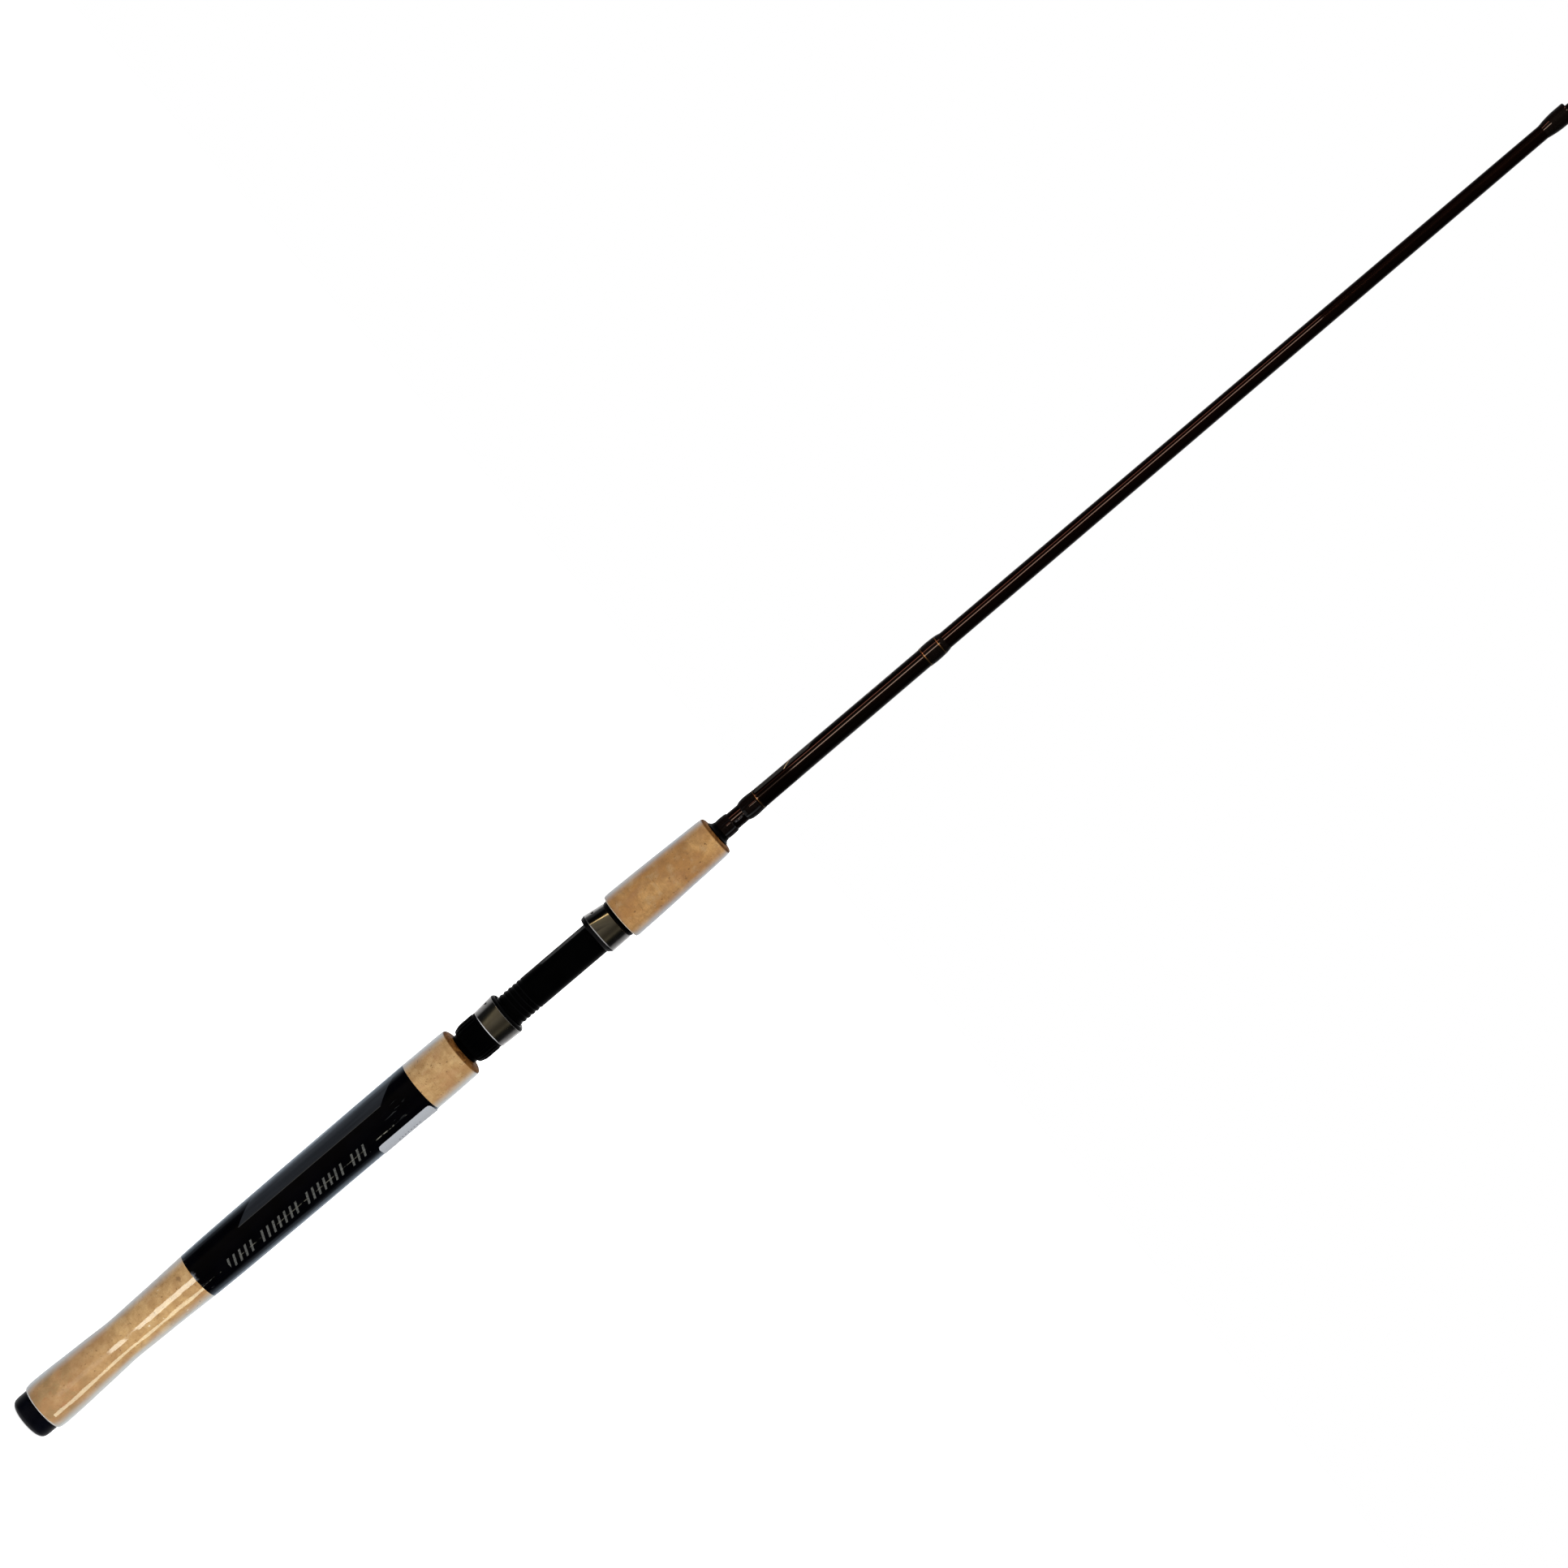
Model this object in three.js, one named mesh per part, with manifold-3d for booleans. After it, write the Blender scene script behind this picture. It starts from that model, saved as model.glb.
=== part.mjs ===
// Two-piece spinning rod, standing upright.
// Millimetres, +Z from the butt cap to the tip, origin at the centre of the butt cap's flat bottom.
// The reel and the line guides sit on the -X side. "Rear" is towards the butt, "front" towards
// the tip. In the names, Z0 is a piece's lower end and Z1 its upper end.
import * as THREE from 'three';
import { mergeVertices } from 'three/addons/utils/BufferGeometryUtils.js';
import Module from 'manifold-3d';

const manifold = await Module();
manifold.setup();

// ---- shared dimensions ----------------------------------------------------------------------
const SEGMENTS = 20;                  // facets around the butt blank, grips and wraps
const SEAT_SEGMENTS = 24;             // facets around the reel seat's pieces
const TIP_SEGMENTS = 12;              // facets around the thin tip section
const WIRE_SIDES = 6;
const GLUE_GAP = 0.05;                // between coaxial pieces
const SEAT_GAP = 0.2;                 // between neighbours along the reel seat

const DEGREE = Math.PI / 180;
const REEL_SIDE = 180;                // degrees, the -X side

const BUTT_BLANK_Z0 = 3.6;            // in the cap's socket
const FERRULE_Z = 1021.4;             // upper end of the butt section
const SPIGOT_LENGTH = 61.8;           // part of the tip section inside the butt section
const SPIGOT_Z = FERRULE_Z - SPIGOT_LENGTH;
const TIP_Z = 1975.4;                 // upper end of the tip blank, inside the tip-top's tube

// the blanks: [z, radius]
const BLANK_OUTER = [[0, 5.5], [470, 4.86], [608.4, 4.67], [1004.3, 3.93], [1100, 3.9]];
const BLANK_BORE = [[0, 4.3], [940, 3.1], [959, 3.1], [1100, 3.37]];
const TIP_OUTER = [[959, 3.0], [1021.4, 3.12], [1300, 2.45], [1650, 1.6], [1981, 0.85]];

const GRIP_Z1 = 289.0;
const BARREL_Z0 = GRIP_Z1 + SEAT_GAP;
const BARREL_Z1 = 393.0;

// ---- profile helpers ------------------------------------------------------------------------
// radius at z, read from a table of [z, radius]
function radiusIn(table, z) {
  if (z <= table[0][0]) return table[0][1];
  for (let i = 1; i < table.length; i++) {
    const [lowZ, lowRadius] = table[i - 1];
    const [highZ, highRadius] = table[i];
    if (z <= highZ) return lowRadius + (highRadius - lowRadius) * (z - lowZ) / (highZ - lowZ);
  }
  return table[table.length - 1][1];
}
const blankRadius = (z) => radiusIn(BLANK_OUTER, z);
const tipRadius = (z) => radiusIn(TIP_OUTER, z);

// the stretch of a [z, radius] table from z0 to z1, as [radius, z] points
function stretch(table, z0, z1) {
  const inside = table.map(([z]) => z).filter((z) => z > z0 && z < z1);
  return [z0, ...inside, z1].map((z) => [radiusIn(table, z), z]);
}

// 1 within `flat` degrees of the direction `at`, falling smoothly to 0 at `edge` degrees;
// the angle itself is in radians
function hump(angle, { at, flat, edge }) {
  const offset = Math.abs(((angle / DEGREE - at) % 360 + 540) % 360 - 180);
  if (offset <= flat) return 1;
  if (offset >= edge) return 0;
  return 0.5 + 0.5 * Math.cos(Math.PI * (offset - flat) / (edge - flat));
}

const constant = (radius) => () => radius;
const inset = (radiusAt, depth) => (angle) => radiusAt(angle) - depth;

// ---- mesh helpers ---------------------------------------------------------------------------
function meshOf(positions, indices) {
  const geometry = new THREE.BufferGeometry();
  geometry.setAttribute('position', new THREE.Float32BufferAttribute(positions, 3));
  geometry.setIndex(indices);
  return solid(geometry);
}

const quad = (first, second, third, fourth) => [first, second, third, first, third, fourth];
const polar = (radius, angle, z) => [radius * Math.cos(angle), radius * Math.sin(angle), z];

// one closed body: shared vertices merged, no empty triangles, faces out
function solid(geometry) {
  const bare = geometry.clone();
  bare.deleteAttribute('normal');
  bare.deleteAttribute('uv');
  bare.clearGroups();
  const merged = mergeVertices(bare, 1e-4);
  const indices = merged.index.array;
  const kept = [];
  let signedVolume = 0;
  for (let i = 0; i < indices.length; i += 3) {
    const triangle = [indices[i], indices[i + 1], indices[i + 2]];
    if (new Set(triangle).size < 3) continue;
    const corners = triangle.map((index) =>
      new THREE.Vector3().fromBufferAttribute(merged.attributes.position, index));
    signedVolume += corners[0].dot(corners[1].cross(corners[2]));
    kept.push(...triangle);
  }
  if (signedVolume < 0) {
    for (let i = 0; i < kept.length; i += 3) [kept[i], kept[i + 1]] = [kept[i + 1], kept[i]];
  }
  merged.setIndex(kept);
  merged.computeVertexNormals();
  return merged;
}

function toManifold(geometry) {
  const body = solid(geometry);
  return new manifold.Manifold(new manifold.Mesh({
    numProp: 3,
    vertProperties: new Float32Array(body.attributes.position.array),
    triVerts: new Uint32Array(body.index.array),
  }));
}

function fromManifold(body) {
  const mesh = body.getMesh();
  return meshOf(mesh.vertProperties, Array.from(mesh.triVerts));
}

// the parts joined, then the cutters taken away
function carved(parts, cutters) {
  const whole = parts.map(toManifold).reduce((joined, part) => joined.add(part));
  return fromManifold(cutters.map(toManifold).reduce((body, cut) => body.subtract(cut), whole));
}

// revolve [radius, z] points about the Z axis
function turned(points, segments = SEGMENTS) {
  const outline = points.map(([radius, z]) => new THREE.Vector2(radius, z));
  const geometry = new THREE.LatheGeometry(outline, segments);
  geometry.rotateX(Math.PI / 2);
  return solid(geometry);
}

const turnedLoop = (points, segments) => turned([...points, points[0]], segments);

// a ring that fits over a tapered core: outline of [z, radius], bored to the core plus the gap
function sleeveOn(coreRadius, outline, { gap = GLUE_GAP, segments = SEGMENTS } = {}) {
  const z0 = outline[0][0];
  const z1 = outline[outline.length - 1][0];
  const outer = outline.map(([z, radius]) => [radius, z]);
  const bore = [z1, z0].map((z) => [coreRadius(z) + gap, z]);
  return turnedLoop([...outer, ...bore], segments);
}

// closed loop of rings: each row is a height and a radius that varies with angle
function looped(rows, segments = SEAT_SEGMENTS) {
  const positions = [];
  const indices = [];
  rows.forEach(([z, radiusAt], row) => {
    const start = row * segments;
    const above = ((row + 1) % rows.length) * segments;
    for (let k = 0; k < segments; k++) {
      const next = (k + 1) % segments;
      const angle = k / segments * 2 * Math.PI;
      positions.push(...polar(radiusAt(angle), angle, z));
      indices.push(...quad(start + k, start + next, above + next, above + k));
    }
  });
  return meshOf(positions, indices);
}

// round wire along a smooth curve
function wire(points, radius, steps) {
  const section = [];
  for (let i = 0; i < WIRE_SIDES; i++) {
    const angle = (i + 0.5) / WIRE_SIDES * 2 * Math.PI;
    section.push(new THREE.Vector2(radius * Math.cos(angle), radius * Math.sin(angle)));
  }
  const shape = new THREE.Shape(section);
  shape.closePath();
  const path = points.map((point) => new THREE.Vector3(...point));
  const extrudePath = new THREE.CatmullRomCurve3(path, false, 'centripetal');
  return new THREE.ExtrudeGeometry(shape, { steps, bevelEnabled: false, extrudePath });
}

// a wire and its mirror image across the plane y = 0
const wirePair = (points, radius, steps) => [1, -1].map((side) =>
  wire(points.map(([x, y, z]) => [x, side * y, z]), radius, steps));

function box([x0, x1], [y0, y1], [z0, z1]) {
  const geometry = new THREE.BoxGeometry(x1 - x0, y1 - y0, z1 - z0);
  geometry.translate((x0 + x1) / 2, (y0 + y1) / 2, (z0 + z1) / 2);
  return geometry;
}

// ---- materials ------------------------------------------------------------------------------
const standard = (settings) => new THREE.MeshStandardMaterial(settings);
const CORK = standard({ color: 0xb08a5a, roughness: 0.55 });
const BLACK = standard({ color: 0x08080a, roughness: 0.4 });
const RUBBER = standard({ color: 0x0b0d14, roughness: 0.5 });
const FILM = standard({ color: 0x14151b, roughness: 0.25 });
const PAPER = standard({ color: 0xc8ccd2, roughness: 0.7 });
const STEEL = standard({ color: 0x6b6759, roughness: 0.2, metalness: 0.95 });
const GRAPHITE = standard({ color: 0x120a08, roughness: 0.15, metalness: 0.1 });
const EPOXY = standard({ color: 0x060504, roughness: 0.1 });
const GOLD = standard({ color: 0xa87a45, roughness: 0.3, metalness: 0.9 });
const FOAM = standard({ color: 0x2b2b2d, roughness: 0.9 });
const WIRE = standard({ color: 0x151517, roughness: 0.3, metalness: 0.8 });
const CERAMIC = standard({ color: 0x26282c, roughness: 0.15, metalness: 0.1 });
const LABEL = standard({ color: 0x101012, roughness: 0.15 });

const rod = new THREE.Group();
function add(name, geometry, material) {
  const mesh = new THREE.Mesh(geometry, material);
  mesh.name = name;
  rod.add(mesh);
}

// ---- butt cap -------------------------------------------------------------------------------
const CAP_HEIGHT = 10.4;
const CAP_RADIUS = 12.1;
const SOCKET_RADIUS = 5.65;
const SOCKET_Z = BUTT_BLANK_Z0 - 0.1;

add('butt_cap', turned([
  [0, 0], [8.6, 0], [10.1, 0.4], [11.2, 1.2], [11.8, 2.3], [CAP_RADIUS, 4.2],
  [CAP_RADIUS, CAP_HEIGHT - 0.4], [CAP_RADIUS - 0.35, CAP_HEIGHT],
  [SOCKET_RADIUS, CAP_HEIGHT], [SOCKET_RADIUS, SOCKET_Z], [0, SOCKET_Z]]), RUBBER);

// ---- blanks ---------------------------------------------------------------------------------
const SPIGOT_BORE = 2.1;
const SPIGOT_RADIUS = tipRadius(SPIGOT_Z);

add('butt_blank', turnedLoop([
  ...stretch(BLANK_OUTER, BUTT_BLANK_Z0, FERRULE_Z),
  ...stretch(BLANK_BORE, BUTT_BLANK_Z0, FERRULE_Z).reverse()]), GRAPHITE);

// hollow up to z 1642, solid above
add('tip_blank', turned([
  [0, TIP_Z], ...stretch(TIP_OUTER, FERRULE_Z, TIP_Z).reverse(),
  [SPIGOT_RADIUS, SPIGOT_Z + 0.6], [SPIGOT_RADIUS - 0.35, SPIGOT_Z],
  [SPIGOT_BORE, SPIGOT_Z], [SPIGOT_BORE, FERRULE_Z],
  [1.5, 1300], [0.5, 1640], [0, 1642]], TIP_SEGMENTS), GRAPHITE);

// ---- grips ----------------------------------------------------------------------------------
const SLEEVE_Z0 = 113.6;
const SLEEVE_Z1 = 260.9;
const SLEEVE_THICKNESS = 0.25;
const SLEEVE_STEP = 0.3;              // depth of the step turned in the cork for the sleeve

// rear grip, [z, radius]: swelled at the butt, waisted, then full to the reel seat
const GRIP_PROFILE = [
  [10.5, 12.75], [11.6, 13.35], [14.9, 13.65], [26.4, 13.42], [38.7, 12.87], [51.0, 12.4],
  [64.0, 11.86], [75.6, 12.12], [87.9, 12.42], [100.2, 12.85], [SLEEVE_Z0, 13.31], [124.7, 13.58],
  [149.3, 13.87], [186.2, 14.05], [223.1, 14.18], [SLEEVE_Z1, 14.25], [272.3, 14.22],
  [284.6, 14.05], [286.9, 13.85], [287.9, 13.4], [288.6, 12.4], [GRIP_Z1, 11.2]];

// foregrip, [z, radius]
const FOREGRIP_PROFILE = [
  [BARREL_Z1 + SEAT_GAP, 12.6], [394.0, 13.05], [395.2, 13.1], [408, 12.85], [424, 12.4],
  [440, 11.9], [453.2, 11.4], [455.6, 11.1], [456.5, 10.6], [456.95, 9.7], [457.1, 8.9]];

// the grip's outline with the step for the printed sleeve
function steppedGrip() {
  return GRIP_PROFILE.flatMap(([z, radius]) => {
    const sunk = radius - SLEEVE_STEP;
    if (z === SLEEVE_Z0) return [[z - 0.05, radius], [z - 0.04, sunk]];
    if (z === SLEEVE_Z1) return [[z + 0.04, sunk], [z + 0.05, radius]];
    return [[z, z > SLEEVE_Z0 && z < SLEEVE_Z1 ? sunk : radius]];
  });
}
add('rear_grip', sleeveOn(blankRadius, steppedGrip()), CORK);

function labelSleeve() {
  const outer = stretch(GRIP_PROFILE, SLEEVE_Z0, SLEEVE_Z1);
  const inner = outer.map(([radius, z]) => [radius - SLEEVE_THICKNESS, z]).reverse();
  return turnedLoop([...outer, ...inner]);
}
add('grip_label_sleeve', labelSleeve(), FILM);

// small paper stock label with cut corners, part of the way round the sleeve
const STICKER = {
  z0: 225.6, z1: 259.8,
  startAngle: 295, endAngle: 349,     // degrees
  lift: 0.06, thickness: 0.12,
  cutHeight: 1.2, cutAngle: 4.6,      // cut corners
  columns: 5,
};

function stockSticker() {
  const { z0, z1, startAngle, endAngle, lift, thickness, cutHeight, cutAngle, columns } = STICKER;
  const heights = [z0, z0 + cutHeight, (z0 + z1) / 2, z1 - cutHeight, z1];
  const lastRow = heights.length - 1;
  const positions = [];
  const indices = [];
  for (const height of [lift, lift + thickness])
    heights.forEach((z, row) => {
      const cut = row === 0 || row === lastRow ? cutAngle : 0;
      const start = startAngle + cut;
      const end = endAngle - cut;
      for (let i = 0; i <= columns; i++) {
        const angle = (start + (end - start) * i / columns) * DEGREE;
        positions.push(...polar(radiusIn(GRIP_PROFILE, z) + height, angle, z));
      }
    });

  // layer 0 is the underside, layer 1 the face
  const at = (layer, row, column) =>
    (layer * heights.length + row) * (columns + 1) + column;
  const edge = [];
  for (let j = 0; j < lastRow; j++)
    for (let i = 0; i < columns; i++) {
      const cell = [[j, i], [j, i + 1], [j + 1, i + 1], [j + 1, i]];
      const [first, second, third, fourth] = cell.map((corner) => at(0, ...corner));
      indices.push(...quad(...cell.map((corner) => at(1, ...corner))));
      indices.push(...quad(first, fourth, third, second));
    }

  // the rim that closes the four edges
  for (let i = 0; i < columns; i++) edge.push([0, i]);
  for (let j = 0; j < lastRow; j++) edge.push([j, columns]);
  for (let i = columns; i > 0; i--) edge.push([lastRow, i]);
  for (let j = lastRow; j > 0; j--) edge.push([j, 0]);
  edge.forEach((here, k) => {
    const next = edge[(k + 1) % edge.length];
    indices.push(...quad(at(0, ...here), at(0, ...next), at(1, ...next), at(1, ...here)));
  });
  return meshOf(positions, indices);
}
add('stock_sticker', stockSticker(), PAPER);

add('foregrip', sleeveOn(blankRadius, FOREGRIP_PROFILE), CORK);

// ---- reel seat barrel -----------------------------------------------------------------------
const BARREL_RADIUS = 9.05;
const BARREL_BORE = 7.0;
const THREAD_Z0 = 293.0;
const THREAD_Z1 = 335.2;
const THREAD_PITCH = 2.83;
const THREAD_ROOT = 8.5;
const THREAD_PROFILE = [[0, THREAD_ROOT], [0.5, BARREL_RADIUS]];   // share of the pitch, radius
const KEYWAY = { floorX: 8.1, halfWidth: 2.0, z1: 341.0 };
const FOOT_FLAT = { x: 8.6, halfWidth: 6, z0: 348.0, z1: 376.6 };  // platform for the reel's foot
const CUTTER_X = 12;                  // cutters reach this far out, clear of the barrel

// the barrel's closed section at one facet line, [radius, z]; the thread climbs with the facets
function barrelSection(facet) {
  const section = [
    [BARREL_BORE, BARREL_Z0], [THREAD_ROOT - 0.25, BARREL_Z0], [THREAD_ROOT, BARREL_Z0 + 0.3]];
  for (let k = -2; THREAD_Z0 + k * THREAD_PITCH < THREAD_Z1 + 2 * THREAD_PITCH; k++)
    for (const [share, radius] of THREAD_PROFILE) {
      const z = THREAD_Z0 + (k + share) * THREAD_PITCH + THREAD_PITCH * facet / SEAT_SEGMENTS;
      if (z <= THREAD_Z0) section.push([THREAD_ROOT, THREAD_Z0]);
      else if (z >= THREAD_Z1) section.push([THREAD_ROOT, THREAD_Z1]);
      else section.push([radius, z]);
    }
  section.push([BARREL_RADIUS, THREAD_Z1 + 0.8], [BARREL_RADIUS, BARREL_Z1]);
  section.push([BARREL_BORE, BARREL_Z1], section[0]);
  return section;
}

// right-hand external thread at the butt end, a keyway on +X, a flat for the reel's foot on -X
function barrel() {
  const positions = [];
  const indices = [];
  for (let i = 0; i <= SEAT_SEGMENTS; i++) {
    const angle = (i % SEAT_SEGMENTS) / SEAT_SEGMENTS * 2 * Math.PI;
    for (const [radius, z] of barrelSection(i)) positions.push(...polar(radius, angle, z));
  }
  const count = barrelSection(0).length;
  for (let i = 0; i < SEAT_SEGMENTS; i++)
    for (let j = 0; j < count - 1; j++) {
      const here = i * count + j;
      const beside = here + count;
      indices.push(...quad(here, beside, beside + 1, here + 1));
    }
  const keyway = box([KEYWAY.floorX, CUTTER_X], [-KEYWAY.halfWidth, KEYWAY.halfWidth],
    [BARREL_Z0 - 1, KEYWAY.z1]);
  const flat = box([-CUTTER_X, -FOOT_FLAT.x], [-FOOT_FLAT.halfWidth, FOOT_FLAT.halfWidth],
    [FOOT_FLAT.z0, FOOT_FLAT.z1]);
  return carved([meshOf(positions, indices)], [keyway, flat]);
}
add('reel_seat_barrel', barrel(), BLACK);

// packing rings that centre the barrel on the blank
[[294, 304], [334, 346], [378, 390]].forEach((ends, i) => {
  const outline = ends.map((z) => [z, BARREL_BORE - GLUE_GAP]);
  const arbor = sleeveOn(blankRadius, outline, { gap: 0.15, segments: SEAT_SEGMENTS });
  add(`seat_arbor_${i + 1}`, arbor, FOAM);
});

// ---- lock nut -------------------------------------------------------------------------------
const NUT_Z0 = 291.75;
const NUT_Z1 = 305.4;
const NUT_RADIUS = 11.07;
const NUT_BORE = 9.3;
const NUT_RIBS = 24;
const NUT_SEGMENTS = NUT_RIBS * 2;    // a crest and a groove for each rib

const ribbed = (radius, depth) => (angle) =>
  radius - (Math.round(angle / (2 * Math.PI) * NUT_SEGMENTS) % 2 ? depth : 0);

add('lock_nut', looped([
  [NUT_Z0, constant(9.85)],
  [NUT_Z0 + 3.2, ribbed(10.8, 0.1)],
  [NUT_Z0 + 4.4, ribbed(NUT_RADIUS, 0.4)],
  [NUT_Z1 - 1.4, ribbed(NUT_RADIUS, 0.4)],
  [NUT_Z1 - 0.6, constant(10.9)],
  [NUT_Z1, constant(10.6)],
  [NUT_Z1, constant(NUT_BORE)],
  [NUT_Z0, constant(NUT_BORE)]], NUT_SEGMENTS), BLACK);

// ---- hoods ----------------------------------------------------------------------------------
const COVER_THICKNESS = 0.75;
const COVER_SEAT = COVER_THICKNESS + 0.22;   // from a cover's outside to the body beneath it

// sliding hood: moulded body with a pocket for the reel's foot and a key, under a metal cover
const REAR_Z0 = NUT_Z1 + SEAT_GAP;
const REAR_COVER_Z1 = 317.3;
const REAR_Z1 = 319.0;
const REAR_BORE = 9.25;

const rearOuter = (z) => (angle) => {
  const share = (z - REAR_Z0) / (REAR_COVER_Z1 - REAR_Z0);
  const bulge = hump(angle, { at: REEL_SIDE, flat: 32, edge: 60 });
  return 11.35 + 0.45 * share + (-0.4 + 0.6 * share) * bulge;
};
const rearBore = (pocketDepth) => (angle) => REAR_BORE
  + pocketDepth * hump(angle, { at: REEL_SIDE, flat: 24, edge: 44 })
  - 0.75 * hump(angle, { at: 0, flat: 1, edge: 14 });
const rearFoot = rearOuter(REAR_Z0);
const rearMouth = rearOuter(REAR_COVER_Z1);

add('rear_hood', looped([
  [REAR_Z0, inset(rearFoot, COVER_SEAT)],
  [REAR_COVER_Z1 + 0.1, inset(rearMouth, COVER_SEAT)],
  [REAR_COVER_Z1 + 0.1, inset(rearMouth, 0.15)],
  [REAR_Z1 - 1.2, inset(rearMouth, 0.15)],
  [REAR_Z1, inset(rearMouth, 1.1)],
  [REAR_Z1, rearBore(1.35)],
  [REAR_COVER_Z1, rearBore(1.15)],
  [REAR_Z0 + 2.4, rearBore(0.4)],
  [REAR_Z0 + 2.3, rearBore(0)],
  [REAR_Z0, rearBore(0)]]), BLACK);
add('rear_hood_cover', looped([
  [REAR_Z0, inset(rearFoot, 0.25)],
  [REAR_Z0 + 0.35, rearOuter(REAR_Z0 + 0.35)],
  [REAR_Z0 + 5, rearOuter(REAR_Z0 + 5)],
  [REAR_COVER_Z1, rearMouth],
  [REAR_COVER_Z1, inset(rearMouth, COVER_THICKNESS)],
  [REAR_Z0, inset(rearFoot, COVER_THICKNESS)]]), STEEL);

// fixed hood, its mouth towards the butt, fully raised on the reel's side
const FRONT_Z0 = 377.0;
const FRONT_COVER_Z0 = 379.4;
const FRONT_MID_Z = FRONT_COVER_Z0 + 5;
const FRONT_Z1 = 390.6;
const FRONT_BORE = 9.12;

const frontOuter = (z) => (angle) => {
  const share = THREE.MathUtils.clamp((z - FRONT_COVER_Z0) / (FRONT_Z1 - FRONT_COVER_Z0), 0, 1);
  const bulge = hump(angle, { at: REEL_SIDE, flat: 34, edge: 66 });
  return 10.95 - 0.1 * share + 1.5 * Math.pow(1 - share, 1.15) * bulge;
};
const frontBore = (pocketDepth) => (angle) =>
  FRONT_BORE + pocketDepth * hump(angle, { at: REEL_SIDE, flat: 26, edge: 48 });
const frontMouth = frontOuter(FRONT_COVER_Z0);
const frontMiddle = frontOuter(FRONT_MID_Z);
const frontEnd = frontOuter(FRONT_Z1);

add('front_hood', looped([
  [FRONT_Z0, inset(frontMouth, 0.9)],
  [FRONT_Z0 + 1.5, inset(frontMouth, 0.25)],
  [FRONT_COVER_Z0 - 0.1, inset(frontMouth, -0.02)],
  [FRONT_COVER_Z0 - 0.1, inset(frontMouth, COVER_SEAT)],
  [FRONT_MID_Z, inset(frontMiddle, COVER_SEAT)],
  [FRONT_Z1, inset(frontEnd, COVER_SEAT)],
  [FRONT_Z1, frontBore(0)],
  [FRONT_Z1 - 2.4, frontBore(0)],
  [FRONT_Z1 - 2.5, frontBore(0.6)],
  [FRONT_MID_Z, frontBore(1.1)],
  [FRONT_COVER_Z0, frontBore(2.0)],
  [FRONT_Z0, frontBore(2.1)]]), BLACK);
add('front_hood_cover', looped([
  [FRONT_COVER_Z0, frontMouth],
  [FRONT_MID_Z, frontMiddle],
  [FRONT_Z1 - 0.35, frontOuter(FRONT_Z1 - 0.35)],
  [FRONT_Z1, inset(frontEnd, 0.25)],
  [FRONT_Z1, inset(frontEnd, COVER_THICKNESS)],
  [FRONT_MID_Z, inset(frontMiddle, COVER_THICKNESS)],
  [FRONT_COVER_Z0, inset(frontMouth, COVER_THICKNESS)]]), STEEL);

const RING_Z0 = FRONT_Z1 + SEAT_GAP;
const RING_RADIUS = 10.76;
add('seat_front_ring', turnedLoop([
  [FRONT_BORE, RING_Z0], [10.45, RING_Z0], [RING_RADIUS, RING_Z0 + 0.4],
  [RING_RADIUS, BARREL_Z1 - 0.3], [10.5, BARREL_Z1], [FRONT_BORE, BARREL_Z1]],
SEAT_SEGMENTS), BLACK);

// ---- above the foregrip: outlines are [z, radius] -------------------------------------------
const addSleeve = (name, material, outline) =>
  add(name, sleeveOn(blankRadius, outline), material);

addSleeve('winding_check', BLACK,
  [[457.2, 7.2], [457.8, 6.95], [458.4, 6.2], [459.2, 5.7], [460.4, 5.5]]);

// hook keeper: a bent wire whose two feet lie under thread wraps that rise over them
const KEEPER_ANGLE = 261;             // degrees
const KEEPER_WIRE = 0.5;              // wire radius
const KEEPER_BORE_LIFT = 1.22;        // rise of a wrap's bore over the foot

const overFoot = (radius, lift) => (angle) =>
  radius + lift * hump(angle, { at: KEEPER_ANGLE, flat: 10, edge: 34 });

// outline rows are [z, radius, rise over the foot]
function keeperWrap(outline) {
  const ends = [outline[outline.length - 1][0], outline[0][0]];
  return looped([
    ...outline.map(([z, radius, lift]) => [z, overFoot(radius, lift)]),
    ...ends.map((z) => [z, overFoot(blankRadius(z) + GLUE_GAP, KEEPER_BORE_LIFT)])], SEGMENTS);
}
add('keeper_rear_wrap', keeperWrap([
  [460.5, 5.35, 1.2], [461.3, 5.5, 1.35], [466.4, 5.45, 1.4], [467.3, 5.12, 1.25]]), EPOXY);
add('keeper_front_wrap', keeperWrap([
  [474.7, 5.15, 1.25], [476.6, 5.6, 1.45], [479.8, 5.85, 1.35], [483.7, 5.62, 1.25]]), EPOXY);
addSleeve('keeper_trim_band', GOLD, [[483.8, 5.6], [485.4, 5.55]]);

// the wire's path, [z, height above its feet]
const KEEPER_PATH = [
  [462, 0], [466.6, 0], [467.7, 0.04], [468.9, 1.35], [470.95, 2.5],
  [473.0, 1.35], [474.2, 0.04], [475.3, 0], [479.5, 0]];
function hookKeeper() {
  const footRadius = blankRadius(KEEPER_PATH[0][0]) + 0.08 + KEEPER_WIRE;
  const path = KEEPER_PATH.map(([z, rise]) => polar(footRadius + rise, KEEPER_ANGLE * DEGREE, z));
  return solid(wire(path, KEEPER_WIRE, 26));
}
add('hook_keeper', hookKeeper(), WIRE);

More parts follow.
